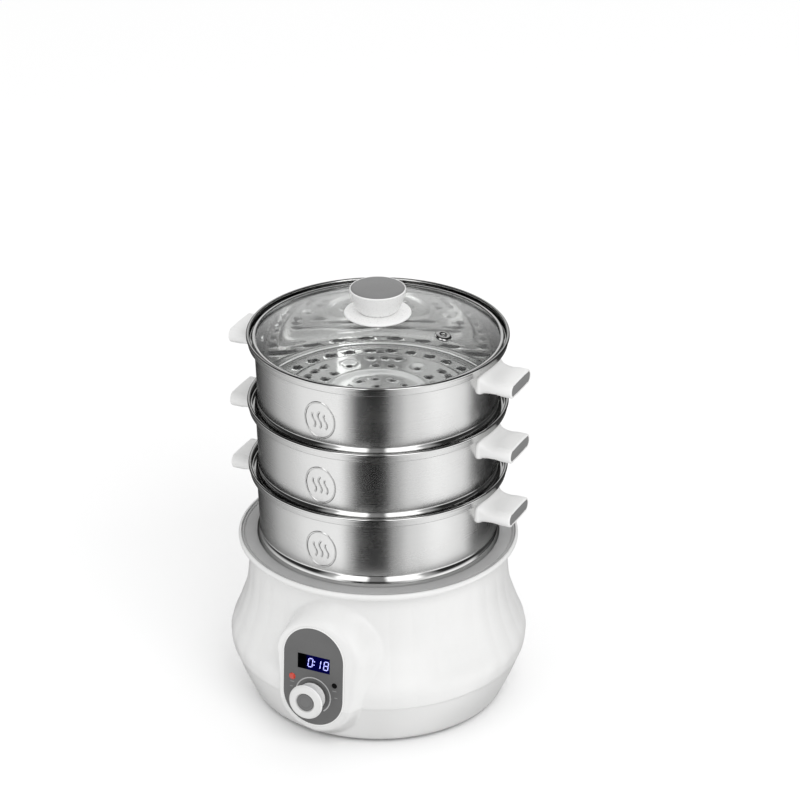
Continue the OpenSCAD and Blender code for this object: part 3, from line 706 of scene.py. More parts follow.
def digits():
    hgt, wid = 8.9, 4.4
    y0 = WY - hgt / 2
    segs = {
        "a": (0, hgt, wid, hgt), "b": (wid, hgt, wid, hgt / 2), "c": (wid, hgt / 2, wid, 0),
        "d": (0, 0, wid, 0), "e": (0, hgt / 2, 0, 0), "f": (0, hgt, 0, hgt / 2), "g": (0, hgt / 2, wid, hgt / 2),
    }
    lit = [("0", "abcdef", WX0 + 0.315 * WW), ("1", "bc", WX0 + 0.56 * WW), ("8", "abcdefg", WX0 + 0.80 * WW)]
    for tag, which, x in lit:
        verts, faces = [], []
        for s in which:
            x0, y0s, x1, y1s = segs[s]
            shape = [slant(q, y0) for q in segment_bar(x + x0, y0 + y0s, x + x1, y0 + y1s, 0.82)]
            v, f = prism(shape, -0.16, -0.05)
            k = len(verts)
            verts += v
            faces += [tuple(i + k for i in ff) for ff in f]
        add(f"display_digit_{tag}", verts, faces, "digits", "base", None, matrix=PANEL, angle=30)
    verts, faces = [], []
    for yy in (y0 + hgt * 0.3, y0 + hgt * 0.72):
        cx, cy = slant((WX0 + 0.497 * WW, yy), y0)
        v, f = prism([(cx + 0.65 * math.cos(a), cy + 0.65 * math.sin(a)) for a in np.linspace(0, 2 * math.pi, 17)[:-1]], -0.16, -0.05)
        k = len(verts)
        verts += v
        faces += [tuple(i + k for i in ff) for ff in f]
    add("display_colon", verts, faces, "digits", "base", None, matrix=PANEL, angle=30)


digits()

# dial: flared white shell with a hollow face that holds the grey cap
dial_prof = join_lines(
    [(5.5, 3.0), (5.5, 13.0)], [(9.5, 14.0), (11.0, 12.0), (11.6, 6.0), (11.6, 1.4)],
    curve_pts([(12.9, 1.4), (13.6, 1.6), (13.95, 2.4), (14.1, 5.0), (14.7, 8.6), (15.8, 12.0), (17.0, 14.4)], 0.5),
    curve_pts([(17.0, 14.4), (17.35, 15.2), (17.35, 15.9), (16.9, 16.9), (16.1, 17.7), (15.0, 18.1), (13.8, 18.25)], 0.3),
    [(10.6, 18.25)], arc(10.4, 17.45, 0.8, 85, 170, 5), [(9.0, 16.4), (3.0, 16.4), (3.0, 3.0)])
dial = lathe("dial_shell_skin", dial_prof, "dial", "dial", "white_plastic", ("dial_shell",), seg=128, matrix=PANEL)
# the face is painted darker than the side and the side lighter than the face, painted light and shade that even out how
# each part of the one white dial catches the light
dial.data.materials.append(M["dial_face_painted_dark"])
face_way = PANEL.to_3x3() @ Vector((0, 0, 1))
for poly in dial.data.polygons:
    if poly.center.dot(face_way) > 0.0166:
        poly.material_index = 1
cap_prof = join_lines([(0, 15.9), (8.8, 15.9), (8.8, 16.6)], arc(8.2, 16.9, 0.55, 0, 90, 4), [(6.3, 17.5), (6.1, 17.72), (5.5, 17.72), (5.3, 17.5), (0, 17.55)])
lathe("dial_cap_skin", cap_prof, "cap_dark", "dial", "cap_grey", ("dial_cap",), seg=96, close=False, matrix=PANEL)


# ------------------------------------------------------------------ trays

def tray_profile():
    bead = arc(123.4, -1.6, 1.6, 205, -35, 18)
    outer = join_lines(
        curve_pts([(124.7, -2.55), (124.45, -3.5), (123.9, -6.0), (123.45, -7.6)], 0.7),
        curve_pts([(123.45, -7.6), (123.35, -8.3), (122.7, -9.1), (121.2, -9.5), (119.4, -9.75), (118.2, -10.2), (117.6, -11.2), (117.3, -13.0)], 0.4),
        curve_pts([(117.3, -13.0), (115.05, -64.6)], 6.0),
        curve_pts([(115.05, -64.6), (115.0, -65.6), (115.3, -66.7), (116.2, -68.0), (117.05, -70.0), (117.6, -72.2), (117.8, -74.2), (117.75, -75.6), (117.3, -76.5)], 0.5),
        [(114.2, -76.5), (113.6, -76.9), (113.4, -77.8), (113.3, -80.0)])
    inner = join_lines(
        [(112.5, -80.0), (112.6, -77.0), (113.4, -75.7), (116.4, -75.7)],
        curve_pts([(116.4, -75.7), (116.9, -74.2), (116.6, -71.8), (115.7, -69.2), (114.6, -67.6), (114.2, -66.4), (114.2, -65.0)], 1.0),
        curve_pts([(114.2, -65.0), (116.3, -13.0)], 8.0),
        curve_pts([(116.3, -13.0), (116.38, -10.6), (116.55, -9.4), (117.0, -8.7), (117.9, -8.45), (119.2, -8.4), (120.6, -8.45), (121.7, -8.3), (122.3, -7.8), (122.6, -7.0)], 0.35),
        curve_pts([(122.6, -7.0), (123.0, -3.7)], 1.2), [(122.5, -3.0)])
    return join_lines(outer, inner, bead)


TRAY_PROF = tray_profile()


def two_tone(ob, split):
    """Gives the faces that satisfy split a second, polished material."""
    ob.data.materials.append(M["bright"])
    for p in ob.data.polygons:
        if split(p.center.x * 1000, p.center.y * 1000, p.center.z * 1000, p.normal):
            p.material_index = 1


def tray_wall(n):
    z0 = RIM[n]
    prof = [(r, z + z0) for r, z in TRAY_PROF]
    ob = lathe(f"tray_{n}_wall_skin", prof, "satin", f"tray_{n}", "tray_steel", (f"tray_{n}_wall",), seg=288, angle=40)

    def shiny(x, y, z, nrm):
        r = math.hypot(x, y)
        h = z - z0
        inward = (nrm.x * x + nrm.y * y) / max(r, 1e-6) < -0.2
        return inward or h > -2.9 or h < -65.4 or (-8.9 < h < -6.5 and nrm.z > 0.3) or (r > 116.3 and -9.0 < h < -3 and inward)

    two_tone(ob, shiny)
    return ob


def smooth01(t):
    t = np.clip(t, 0, 1)
    return t * t * (3 - 2 * t)


def floor_height(kind, r, a):
    """Height of the upper face below the rim, in mm, at radius r and angle a (degrees)."""
    if kind == "steam":
        xs = [0, 76.5, 77.5, 79.0, 81.0, 82.4, 83.6, 104.2, 105.4, 106.4, 107.5, 108.6, 109.6, 110.6, 112.0, 113.2, 114.2]
        hs = [-72.4, -72.4, -72.2, -71.2, -69.0, -68.2, -68.0, -68.0, -67.8, -67.2, -66.8, -67.2, -67.75, -67.6, -67.0, -66.3, -65.0]
        return float(np.interp(r, xs, hs))
    xs = [0, 42.6, 44.0, 45.4, 46.8, 48.0, 49.2, 50.4, 51.8, 53.2, 85.0, 86.6, 88.0, 89.6, 91.0, 92.4, 104.2, 105.4, 106.4, 107.5, 108.6, 109.6, 110.6, 112.0, 113.2, 114.2]
    hs = [-66.4, -66.4, -66.1, -65.0, -63.8, -63.3, -63.5, -64.0, -64.4, -64.5, -64.5, -64.8, -65.6, -66.9, -67.7, -68.0, -68.0, -67.8, -67.2, -66.8, -67.2, -67.75, -67.6, -67.0, -66.3, -65.0]
    h = float(np.interp(r, xs, hs))
    # six round dimples
    k = round((a - 20) / 60)
    aa = (20 + 60 * k) * D2R
    d = math.hypot(r * math.cos(a * D2R) - 66 * math.cos(aa), r * math.sin(a * D2R) - 66 * math.sin(aa))
    if d < 10.4:
        h += float(np.interp(d, [0, 3.0, 5.0, 6.6, 7.8, 8.8, 9.6, 10.4], [-1.9, -1.85, -1.35, -0.5, 0.25, 0.55, 0.25, 0.0]))
    return h


def hole_list(kind):
    if kind == "steam":
        rings = [(28, 97.5), (28, 86.5), (28, 69.5), (28, 57.0), (22, 43.0), (16, 28.0)]
        holes = [(r, i * 360 / c, 1.5) for c, r in rings for i in range(c)]
        holes.append((0.0, 0.0, 12.6))
        return holes
    holes = [(98.5, i * 12.0, 3.25) for i in range(30)]
    holes += [(66.0, 20 + 60 * k, 3.0) for k in range(6)]
    for k in range(6):
        holes += [(75.0, 50 + 60 * k + d, 3.0) for d in (-10, 0, 10)] + [(57.0, 50 + 60 * k + d, 3.0) for d in (-7.5, 7.5)]
    holes += [(31.0, i * 30.0, 2.5) for i in range(12)] + [(15.5, i * 60.0, 2.5) for i in range(6)]
    return holes


def in_slot(kind, x, y, margin):
    if kind != "steam":
        return False
    a = (152.5 + 360 / 32) * D2R
    u, v = x * math.cos(a) + y * math.sin(a), -x * math.sin(a) + y * math.cos(a)
    return 30 - margin < u < 39 + margin and abs(v) < 0.5 + margin


def floor_mesh(kind):
    holes = [(r * math.cos(a * D2R), r * math.sin(a * D2R), hr) for r, a, hr in hole_list(kind)]
    hx = np.array([h[0] for h in holes])
    hy = np.array([h[1] for h in holes])
    hr = np.array([h[2] for h in holes])
    fine = [44, 45, 46, 47, 48, 49, 50, 51, 52, 53.2] if kind != "steam" else []
    if kind == "steam":
        rad = list(range(14, 77, 4)) + [76.5, 77.5, 78.5, 79.5, 80.5, 81.5, 82.4, 83.6, 90.5, 94, 101]
    else:
        rad = [4, 8, 12, 19, 23, 27, 35, 39, 42.6] + fine + [60, 64, 68, 72, 80, 84, 85.5, 86.6, 87.6, 88.6, 89.6, 90.6, 91.6, 92.6, 94.6, 102.4]
    rad += [104.2, 104.9, 105.6, 106.2, 106.8, 107.5, 108.2, 108.9, 109.6, 110.3, 111.0, 112.0, 112.8, 113.4, 114.2]
    pts, edges = [], []
    for r in sorted(set(rad)):
        c = max(12, int(min(240, 2 * math.pi * r / 3.2)))
        if r in (114.2,):
            c = 240
        off = (r * 7.3) % 1.0 * (360.0 / c) if r < 104 else 0.0
        for i in range(c):
            a = (i * 360 / c + off) * D2R
            x, y = r * math.cos(a), r * math.sin(a)
            if ((x - hx) ** 2 + (y - hy) ** 2 < (hr + 0.9) ** 2).any() or in_slot(kind, x, y, 1.0):
                continue
            pts.append((x, y))
    if kind != "steam":
        for k in range(6):
            a = (20 + 60 * k) * D2R
            cx, cy = 66 * math.cos(a), 66 * math.sin(a)
            pts = [p for p in pts if math.hypot(p[0] - cx, p[1] - cy) > 10.9]
            for rr in (3.9, 4.8, 5.7, 6.6, 7.4, 8.1, 8.8, 9.6, 10.4):
                c = int(18 + rr * 2)
                pts += [(cx + rr * math.cos(2 * math.pi * i / c), cy + rr * math.sin(2 * math.pi * i / c)) for i in range(c)]
    loops = []
    if kind == "steam":
        a = (152.5 + 360 / 32) * D2R
        ux, uy = math.cos(a), math.sin(a)
        loop = []
        for u, v in ((30, -0.5), (34.5, -0.5), (39, -0.5), (39, 0.5), (34.5, 0.5), (30, 0.5)):
            loop.append(len(pts))
            pts.append((ux * u - uy * v, uy * u + ux * v))
        edges += [(loop[i], loop[(i + 1) % 6]) for i in range(6)]
        loops.append(loop)
    for x, y, rr in holes:
        c = 48 if rr > 5 else 20
        loop = []
        for i in range(c):
            t = 2 * math.pi * i / c
            loop.append(len(pts))
            pts.append((x + rr * math.cos(t), y + rr * math.sin(t)))
        edges += [(loop[i], loop[(i + 1) % c]) for i in range(c)]
        loops.append(loop)
    res = delaunay_2d_cdt([Vector(p) for p in pts], edges, [], 0, 1e-5, True)
    vv, ff, orig = res[0], res[2], res[3]
    index = {}
    for i, o in enumerate(orig):
        for q in o:
            index[q] = i
    xy = np.array([(v.x, v.y) for v in vv])
    tris = []
    for f in ff:
        c = xy[list(f)].mean(0)
        if ((c[0] - hx) ** 2 + (c[1] - hy) ** 2 < (hr * 0.985) ** 2).any() or in_slot(kind, c[0], c[1], 0.0):
            continue
        if len(f) == 3:
            p = xy[list(f)]
            area = (p[1][0] - p[0][0]) * (p[2][1] - p[0][1]) - (p[1][1] - p[0][1]) * (p[2][0] - p[0][0])
            if abs(area) < 1e-7:
                continue
            tris.append(tuple(f) if area > 0 else tuple(reversed(f)))
    return xy, tris, [[index[i] for i in loop] for loop in loops]


def tray_floor(n, kind, cache={}):
    if kind not in cache:
        cache[kind] = floor_mesh(kind)
    xy, tris, loops = cache[kind]
    z0 = RIM[n]
    rr = np.hypot(xy[:, 0], xy[:, 1])
    aa = np.degrees(np.arctan2(xy[:, 1], xy[:, 0]))
    h = np.array([floor_height(kind, r, a) for r, a in zip(rr, aa)])
    e = 0.15
    gx = np.array([(floor_height(kind, math.hypot(x + e, y), math.degrees(math.atan2(y, x + e))) - floor_height(kind, math.hypot(x - e, y), math.degrees(math.atan2(y, x - e)))) / (2 * e) for x, y in xy])
    gy = np.array([(floor_height(kind, math.hypot(x, y + e), math.degrees(math.atan2(y + e, x))) - floor_height(kind, math.hypot(x, y - e), math.degrees(math.atan2(y - e, x)))) / (2 * e) for x, y in xy])
    k = len(xy)
    t = 0.8
    verts = np.vstack([np.column_stack([xy, h + z0]), np.column_stack([xy, h + z0 - t])])
    faces = list(tris) + [tuple(i + k for i in reversed(f)) for f in tris]
    for loop in loops:
        c = len(loop)
        for i in range(c):
            a, b = loop[i], loop[(i + 1) % c]
            faces.append((b, a, a + k, b + k))
    rim = [i for i in range(k) if rr[i] > 114.1]
    rim.sort(key=lambda i: aa[i])
    c = len(rim)
    for i in range(c):
        a, b = rim[i], rim[(i + 1) % c]
        faces.append((a, b, b + k, a + k))
    # tray 1's floor takes the lighter painted-light steel, the others the plain floor steel
    ob = add(f"tray_{n}_floor_skin", verts, faces, "steam_floor_painted_light" if kind == "steam" else "floor", f"tray_{n}", "tray_steel", (f"tray_{n}_floor",), angle=0, closed=False)
    ob.data.materials.append(M["steam_channel_painted_light" if kind == "steam" else "channel"])
    inner_r = 84.0 if kind == "steam" else 88.0
    for p in ob.data.polygons:
        if math.hypot(p.center.x, p.center.y) * 1000 > inner_r:
            p.material_index = 1
    # normals from the pressed shape itself, so that reflections run clean
    me = ob.data
    up = np.column_stack([-gx, -gy, np.ones(k)])
    up /= np.linalg.norm(up, axis=1)[:, None]
    norms = []
    nt = len(tris)
    for p in me.polygons:
        vs = [me.loops[i].vertex_index for i in p.loop_indices]
        if p.index < nt:
            norms += [tuple(up[v]) for v in vs]
        elif p.index < 2 * nt:
            norms += [tuple(-up[v - k]) for v in vs]
        else:
            norms += [tuple(p.normal)] * len(vs)
    me.normals_split_custom_set(norms)
    return ob


def wall_radius(h):
    """Outer radius of a tray's wall at height h below its rim."""
    return float(np.interp(h, [-64.6, -13.0, -11.2, -10.2], [115.05, 117.3, 117.6, 118.2]))


def handle(n, side):
    """side +1 is the right handle. Sections run from the wall outwards."""
    z0 = RIM[n]
    # share along the handle, half width, half height, centre height, corner roundness
    stations = [(-0.5, 26.0, 11.5, -23.4, 3.2), (0.0, 26.0, 11.5, -23.4, 3.2), (0.9, 26.0, 11.5, -23.4, 3.2), (1.7, 25.85, 11.35, -23.4, 3.2),
                (2.3, 25.4, 10.9, -23.5, 3.1), (2.9, 24.9, 10.3, -23.7, 3.0), (3.8, 24.45, 9.6, -24.1, 2.9), (5.2, 24.1, 8.9, -24.6, 2.7),
                (7.2, 23.9, 8.3, -25.0, 2.5), (10.0, 23.8, 7.9, -25.3, 2.3), (14.0, 23.75, 7.7, -25.4, 2.2), (20.0, 23.75, 7.65, -25.4, 2.1)]
    seg = 96

    def section(a, b, cz, power):
        out = []
        for i in range(seg):
            t = 2 * math.pi * i / seg
            # a rounded rectangle: straight runs with round corners
            if power > 2.15:
                ex = 2.0 / (power * 1.35)
                c, s = math.cos(t), math.sin(t)
                y = a * math.copysign(abs(c) ** ex, c)
                z = b * math.copysign(abs(s) ** ex, s)
            else:
                y, z = stad_point(t, a, b)
            out.append((y, cz + z))
        return out

    def stad_point(t, a, b):
        # walks a stadium outline at the same angle parameter
        ex = 2.0 / 3.6
        c, s = math.cos(t), math.sin(t)
        y = a * math.copysign(abs(c) ** ex, c)
        z = b * math.copysign(abs(s) ** ex, s)
        core = a - b
        yy = abs(y)
        if yy > core:
            d = min(1.0, (yy - core) / b)
            lim = b * math.sqrt(max(0.0, 1 - d * d))
            z = math.copysign(min(abs(z), lim), z) if abs(z) > 1e-9 else 0.0
            if abs(abs(z) - lim) > 1e-6:
                # push out onto the round end
                v = Vector((yy - core, z))
                if v.length > 1e-9:
                    v = v.normalized() * b
                    yy, z = core + v.x, v.y
        return math.copysign(yy, y), z

    verts, rows = [], []

    def ring(xs, pts):
        rows.append(list(range(len(verts), len(verts) + seg)))
        for x, (y, z) in zip(xs, pts):
            verts.append((x * side, y * side, z + z0))

    for s, a, b, cz, pw in [(-0.5, 26.0 * k, 11.5 * k, -23.4, 3.2) for k in (0.02, 0.2, 0.4, 0.6, 0.8, 0.93)] + stations:
        pts = section(a, b, cz, pw)
        base = [math.sqrt(wall_radius(z) ** 2 - y * y) for y, z in pts]
        mix = smooth01((s - 2.0) / 14.0)
        xs = [w * (1 - mix) + 117.0 * mix + s for w in base]
        ring(xs, pts)
    end = 148.0
    a, b, cz = 23.75, 7.65, -25.4
    for x, inset in ((end - 1.6, 0.0), (end - 0.9, 0.12), (end - 0.4, 0.42), (end - 0.1, 0.85), (end, 1.35), (end, 1.9), (end - 0.15, 2.15), (end - 1.3, 2.2)):
        ring([x] * seg, section(a - inset, b - inset, cz, 2.0))
    faces = []
    for p, q in zip(rows, rows[1:]):
        for i in range(seg):
            j = (i + 1) % seg
            faces.append((p[i], p[j], q[j], q[i]))
    faces.append(tuple(reversed(rows[0])))
    faces.append(tuple(rows[-1]))
    where = "right" if side > 0 else "left"
    add(f"tray_{n}_handle_{where}_skin", verts, faces, "white", f"tray_{n}", "white_plastic", (f"tray_{n}_handle_{where}",), angle=50)
    # grey end cap in its recess
    verts, rows = [], []
    for x, inset in ((end - 1.3, 2.2), (end - 0.5, 2.2), (end - 0.25, 2.35), (end - 0.15, 2.7), (end - 0.1, 3.6)):
        ring([x] * seg, section(a - inset, b - inset, cz, 2.0))
    faces = []
    for p, q in zip(rows, rows[1:]):
        for i in range(seg):
            j = (i + 1) % seg
            faces.append((p[i], p[j], q[j], q[i]))
    faces.append(tuple(reversed(rows[0])))
    faces.append(tuple(rows[-1]))
    reps = (f"tray_{n}_end_caps",) if side > 0 else ()
    add(f"tray_{n}_end_cap_{where}", verts, faces, "cap", f"tray_{n}", "cap_grey", reps, angle=50)


def emblem(n):
    """A plain embossed roundel with three rising wisps, on the front of the tray."""
    z0 = RIM[n]
    lines = []
    t = np.linspace(0, 2 * math.pi, 73)[:-1]
    lines.append(([(15.6 * math.cos(a), 18.6 * math.sin(a)) for a in t], True, 0.95))
    for cx in (-6.2, 0.0, 6.2):
        top = 9.0 if cx == 0 else 6.5
        ys = np.linspace(-8.5, top, 25)
        lines.append(([(cx + 1.7 * math.sin((y + 8.5) / 17.0 * 2 * math.pi), y) for y in ys], False, 0.95))
    verts, faces = [], []
    phi0 = -2.5 * D2R
    for pts, closed, w in lines:
        p = np.asarray(pts, float)
        k = len(p)
        prof = [(-1.2, -0.1), (-0.85, 0.2), (-0.35, 0.5), (0.0, 0.58), (0.35, 0.5), (0.85, 0.2), (1.2, -0.1)]
        rows = []
        for i in range(k):
            a = p[(i - 1) % k] if closed or i > 0 else p[i]
            b = p[(i + 1) % k] if closed or i < k - 1 else p[i]
            d = (b - a) / max(1e-9, np.linalg.norm(b - a))
            nrm = np.array([-d[1], d[0]])
            taper = 1.0 if closed else float(min(1.0, 0.35 + min(i, k - 1 - i) / 4))
            row = []
            for off, hh in prof:
                q = p[i] + nrm * off * w
                z = -43.0 + q[1]
                r = wall_radius(z) + (hh * taper if hh > 0 else hh)
                ang = phi0 + q[0] / 117.0
                row.append(len(verts))
                verts.append((r * math.sin(ang), -r * math.cos(ang), z + z0))
            rows.append(row)
        m = len(prof)
        for i in range(k if closed else k - 1):
            a, b = rows[i], rows[(i + 1) % k]
            faces += [(a[j], a[(j + 1) % m], b[(j + 1) % m], b[j]) for j in range(m)]
        if not closed:
            faces += [tuple(rows[0]), tuple(reversed(rows[-1]))]
    add(f"tray_{n}_emblem", verts, faces, "satin", f"tray_{n}", "tray_steel", angle=60)


for n in (1, 2, 3):
    tray_wall(n)
    tray_floor(n, "steam" if n == 1 else "steaming")
    handle(n, 1)
    handle(n, -1)
    emblem(n)

# central steam tube of the first tray, with its flange
tube_z = RIM[1] - 72.4
tube_prof = join_lines([(12.3, tube_z - 3.2), (13.2, tube_z - 3.2), (13.2, tube_z - 0.8), (15.8, tube_z - 0.6), (15.8, tube_z + 0.1)],
                       curve_pts([(15.8, tube_z + 0.1), (15.2, tube_z + 0.7), (14.2, tube_z + 1.1), (13.5, tube_z + 1.8), (13.2, tube_z + 3.0)], 0.4),
                       [(13.2, 214.0)], curve_pts([(13.2, 214.0), (13.2, 218.6), (13.05, 219.2), (12.75, 219.5), (12.45, 219.2), (12.3, 218.6)], 0.3))
# the tube's body takes the near-black painted reflection colour, its lip the plain polished steel
lathe("steam_tube_skin", tube_prof, "tube_painted_dark_reflection", "tray_1", "polished_steel", ("steam_tube",), seg=96)
lathe("steam_tube_lip", join_lines(arc(12.75, 219.2, 0.52, 0, 360, 14))[:-1], "bright", "tray_1", "polished_steel", seg=96)

# ------------------------------------------------------------------ lid


def dome(r, s):
    return DOME_C + math.sqrt(s * s - r * r)


glass_out = [(r, dome(r, DOME_R)) for r in np.linspace(0, 116.9, 60)]
glass_in = [(r, dome(r, DOME_R - GLASS_T)) for r in np.linspace(0, 116.2, 60)]
edge = [(117.35, dome(117.35, DOME_R) - 0.35), (117.5, dome(117.5, DOME_R) - 1.2), (117.3, LID_Z + 0.75)]
lathe("lid_glass_skin", join_lines(glass_out, edge, reversed(glass_in)), "glass", "lid", "clear_glass", ("lid_glass",), seg=256, close=False, angle=40)

rim_prof = join_lines(
    [(115.7, LID_Z), (118.6, LID_Z)], arc(118.6, LID_Z + 0.9, 0.9, -90, 0, 4),
    curve_pts([(119.5, LID_Z + 0.9), (119.5, LID_Z + 4.0), (119.35, LID_Z + 4.9), (118.8, LID_Z + 5.5), (117.9, LID_Z + 5.6), (116.9, LID_Z + 5.35), (116.3, LID_Z + 4.9)], 0.4),
    [(116.25, LID_Z + 4.35), (117.6, LID_Z + 3.7), (117.6, LID_Z + 0.7), (116.2, LID_Z + 0.75), (115.7, LID_Z + 0.4)])
lathe("lid_rim_skin", rim_prof, "rim", "lid", "polished_steel", ("lid_rim",), seg=256)

base_prof = join_lines([(r, dome(r, DOME_R) + 0.02) for r in (2.6, 10, 18, 26, 31.4)],
                       curve_pts([(31.4, DOME_TOP - 1.66), (31.85, DOME_TOP - 1.2), (31.85, DOME_TOP - 0.6), (31.4, DOME_TOP + 0.08), (30.6, DOME_TOP + 0.45), (29.4, DOME_TOP + 0.58), (26, DOME_TOP + 0.8), (21, DOME_TOP + 1.2), (18.0, DOME_TOP + 1.44)], 0.5),
                       [(17.6, DOME_TOP + 1.48), (2.6, DOME_TOP + 1.48)])
lathe("lid_knob_base_skin", base_prof, "knob", "lid", "white_plastic", ("lid_knob_base",), seg=128)
knob_prof = join_lines(
    [(2.4, DOME_TOP + 1.5)],
    curve_pts([(17.4, DOME_TOP + 1.5), (19.2, DOME_TOP + 2.95), (20.8, DOME_TOP + 5), (22.2, DOME_TOP + 7.5), (23.4, DOME_TOP + 10.3), (24.4, DOME_TOP + 13.4), (25.2, DOME_TOP + 16.6), (25.9, DOME_TOP + 19.6), (26.35, DOME_TOP + 22.0)], 0.7),
    curve_pts([(26.35, DOME_TOP + 22.0), (26.6, DOME_TOP + 23.0), (26.65, DOME_TOP + 23.8), (26.35, DOME_TOP + 24.4), (25.9, DOME_TOP + 24.5), (25.6, DOME_TOP + 24.2)], 0.25),
    [(25.5, DOME_TOP + 23.2), (2.4, DOME_TOP + 23.2)])
lathe("lid_knob_skin", knob_prof, "knob", "lid", "white_plastic", ("lid_knob",), seg=128)
cap = join_lines([(0, DOME_TOP + 23.2), (25.35, DOME_TOP + 23.2), (25.4, DOME_TOP + 24.0)],
                 curve_pts([(25.4, DOME_TOP + 24.0), (24.9, DOME_TOP + 24.65), (23.4, DOME_TOP + 25.25), (20, DOME_TOP + 25.85), (14, DOME_TOP + 26.4), (7, DOME_TOP + 26.85), (0, DOME_TOP + 27)], 0.8))
lathe("lid_knob_cap_skin", cap, "cap", "lid", "cap_grey", ("lid_knob_cap",), seg=128, close=False)

# steam vent: a rolled eyelet square to the glass
tilt = math.asin(71 / DOME_R)
VENT = Matrix.Translation((0, AY, DOME_C * MM)) @ Matrix.Rotation(-5 * D2R, 4, "Z") @ Matrix.Rotation(tilt, 4, "Y")
g0, g1 = DOME_R - GLASS_T, DOME_R
vent_prof = join_lines(
    curve_pts([(2.75, g0 - 1.1), (2.75, g1 + 0.2), (3.0, g1 + 0.9), (3.8, g1 + 1.4), (5.2, g1 + 1.55), (6.6, g1 + 1.3), (7.6, g1 + 0.75), (8.0, g1 + 0.1)], 0.35),
    [(7.9, g1 - 0.1), (4.9, g1), (4.9, g0), (6.9, g0), (6.9, g0 - 0.6), (5.5, g0 - 1.1)])
lathe("steam_vent_skin", vent_prof, "bright", "lid", "polished_steel", ("steam_vent",), seg=64, matrix=VENT, angle=45)

# ------------------------------------------------------------------ materials of the CAD pieces that stay

KEEP = {
    "water_pan": "bright", "pan_seal": "silicone", "heating_plate": "alu", "heater_element": "sheath", "heater_bracket": "plated",
    "thermostat": "alu", "thermal_fuse": "sleeve", "bottom_cover": "ring", "rubber_feet": "rubber", "bottom_screws": "plated",
    "panel_fascia": "panel", "display_window": "display", "display_module": "module", "power_lamp": "red", "standby_lamp": "black_lamp",
    "control_board": "pcb", "power_board": "pcb", "terminal_block": "ivory", "board_screws": "plated", "encoder_body": "plated",
    "encoder_nut": "plated", "cord_gland": "rubber", "encoder_plunger": "ivory", "encoder_shaft": "plated",
    "tray_1_screws": "plated", "tray_2_screws": "plated", "tray_3_screws": "plated", "lid_knob_screw": "plated", "lid_knob_washer": "silicone",
}
for name, mat in KEEP.items():
    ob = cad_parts[name]
    ob.data.materials.clear()
    ob.data.materials.append(M[mat])

# ------------------------------------------------------------------ studio

scene = bpy.context.scene
scene.view_settings.view_transform = "Standard"
scene.view_settings.look = "None"

world = bpy.data.worlds.new("studio")
scene.world = world
world.use_nodes = True
bg = world.node_tree.nodes["Background"]
bg.inputs[0].default_value = (1.0, 1.0, 1.0, 1)
bg.inputs[1].default_value = 1.0
world.cycles_visibility.glossy = False

fm = bpy.data.materials.new("studio_floor")
fm.use_nodes = True
fb = fm.node_tree.nodes["Principled BSDF"]
fb.inputs["Base Color"].default_value = (0.95, 0.95, 0.95, 1)
fb.inputs["Roughness"].default_value = 0.9
fb.inputs["Specular IOR Level"].default_value = 0.0
fme = bpy.data.meshes.new("floor")
fme.from_pydata([(-30, -30, 0), (30, -30, 0), (30, 30, 0), (-30, 30, 0)], [], [(0, 1, 2, 3)])
fme.materials.append(fm)
floor = bpy.data.objects.new("studio_floor", fme)
scene.collection.objects.link(floor)
floor.visible_glossy = False

# a ring of softboxes and flags that only mirror-like surfaces see
dm = bpy.data.materials.new("softbox_ring")
dm.use_nodes = True
dt = dm.node_tree
dt.nodes.clear()
out = dt.nodes.new("ShaderNodeOutputMaterial")
em = dt.nodes.new("ShaderNodeEmission")
dt.links.new(em.outputs[0], out.inputs["Surface"])
tc = dt.nodes.new("ShaderNodeTexCoord")
sp = dt.nodes.new("ShaderNodeSeparateXYZ")
dt.links.new(tc.outputs["Object"], sp.inputs[0])


def dmath(op, a, b=None):
    m = dt.nodes.new("ShaderNodeMath")
    m.operation = op
    for i, v in enumerate((a, b)):
        if v is None:
            continue
        if isinstance(v, (int, float)):
            m.inputs[i].default_value = v
        else:
            dt.links.new(v, m.inputs[i])
    return m.outputs[0]


def dramp(src, stops, mode="EASE"):
    r = dt.nodes.new("ShaderNodeValToRGB")
    r.color_ramp.interpolation = mode
    el = r.color_ramp.elements
    while len(el) < len(stops):
        el.new(0.5)
    for e, (p, v) in zip(el, stops):
        e.position = p
        e.color = (v, v, v, 1)
    dt.links.new(src, r.inputs["Fac"])
    return r.outputs["Color"]


# angle round the object, 0.5 towards the front right where the camera stands
rot = 65.0 * D2R
cx_, sy_ = math.cos(rot), math.sin(rot)
xr = dmath("SUBTRACT", dmath("MULTIPLY", sp.outputs[0], cx_), dmath("MULTIPLY", sp.outputs[1], sy_))
yr = dmath("ADD", dmath("MULTIPLY", sp.outputs[0], sy_), dmath("MULTIPLY", sp.outputs[1], cx_))
turn = dmath("ADD", dmath("DIVIDE", dmath("ARCTAN2", yr, xr), 2 * math.pi), 0.5)


def deg(a):
    return 0.5 + a / 360.0


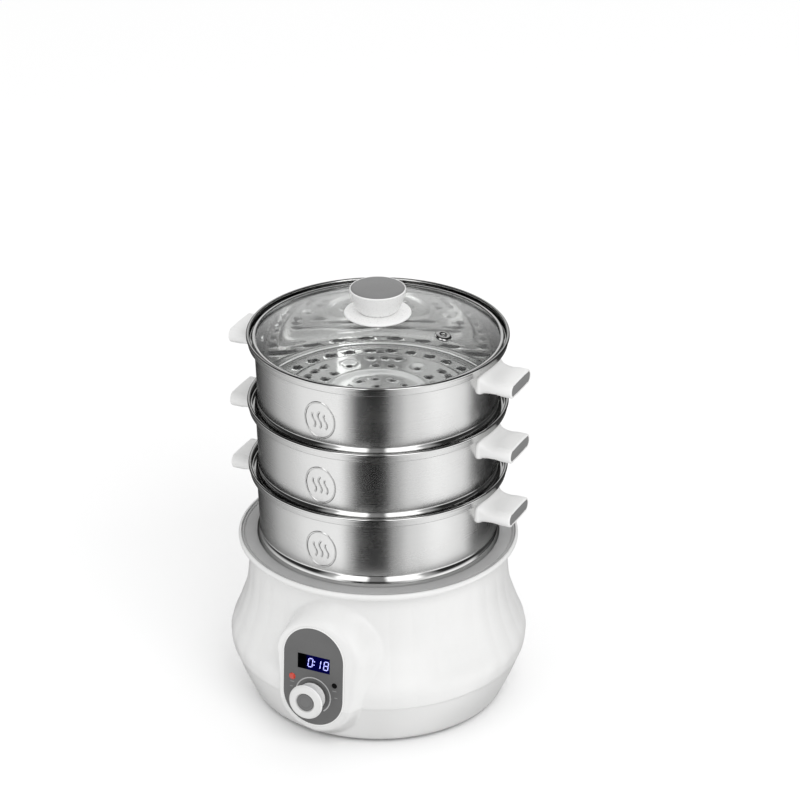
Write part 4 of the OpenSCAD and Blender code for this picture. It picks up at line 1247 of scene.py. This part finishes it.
low = dramp(turn, [(0.0, 0.15), (deg(-158), 0.12), (deg(-132), 0.35), (deg(-98), 0.8), (deg(-70), 1.15), (deg(-36), 1.2), (deg(-27), 0.5),
                   (deg(-19), 0.0), (deg(-5), 0.0), (deg(7), 0.02), (deg(16), 0.42), (deg(32), 0.9), (deg(60), 1.3), (deg(90), 1.1),
                   (deg(104), 0.15), (deg(138), 0.02), (deg(158), 0.4), (1.0, 0.15)])
high = dramp(turn, [(0.0, 0.75), (deg(-158), 0.65), (deg(-145), 0.05), (deg(-60), 0.03), (deg(-42), 0.5), (deg(-34), 1.9), (deg(-12), 1.7),
                    (deg(-7), 0.3), (deg(5), 0.25), (deg(10), 1.6), (deg(34), 1.9), (deg(45), 0.5), (deg(62), 0.03), (deg(145), 0.05),
                    (deg(158), 0.65), (1.0, 0.75)])
dist = dmath("SQRT", dmath("ADD", dmath("MULTIPLY", sp.outputs[0], sp.outputs[0]), dmath("MULTIPLY", sp.outputs[1], sp.outputs[1])))
elev = dmath("ADD", dmath("DIVIDE", dmath("ARCTAN2", sp.outputs[2], dist), math.pi), 0.5)  # 0 straight down, 1 straight up
upness = dramp(elev, [(0.0, 0.0), (0.47, 0.0), (0.56, 1.0), (1.0, 1.0)])
fall = dramp(elev, [(0.0, 0.9), (0.36, 0.95), (0.5, 1.0), (0.70, 1.0), (0.78, 0.55), (0.88, 0.2), (1.0, 0.12)])
mixed = dmath("ADD", dmath("MULTIPLY", low, dmath("SUBTRACT", 1.0, upness)), dmath("MULTIPLY", high, upness))
dt.links.new(dmath("MULTIPLY", mixed, fall), em.inputs["Strength"])
dm.cycles.emission_sampling = "NONE"
bm = bmesh.new()
bmesh.ops.create_uvsphere(bm, u_segments=64, v_segments=32, radius=6.0)
dme = bpy.data.meshes.new("softbox_ring")
bm.to_mesh(dme)
bm.free()
dme.materials.append(dm)
dome_ob = bpy.data.objects.new("softbox_ring", dme)
scene.collection.objects.link(dome_ob)
dome_ob.location = (0, AY, 0.25)
dome_ob.visible_camera = False
dome_ob.visible_diffuse = False
dome_ob.visible_shadow = False
dome_ob.visible_transmission = False
dome_ob.visible_volume_scatter = False


def area(name, loc, target, size, power, size_y=None):
    d = bpy.data.lights.new(name, "AREA")
    d.energy = power
    d.shape = "RECTANGLE"
    d.size = size
    d.size_y = size_y or size
    o = bpy.data.objects.new(name, d)
    scene.collection.objects.link(o)
    o.location = loc
    o.rotation_euler = (Vector(target) - Vector(loc)).to_track_quat("-Z", "Y").to_euler()
    o.visible_camera = False
    o.visible_glossy = False
    return o


area("key_light", (1.6, -1.4, 2.2), (0, 0, 0.15), 1.6, 22)
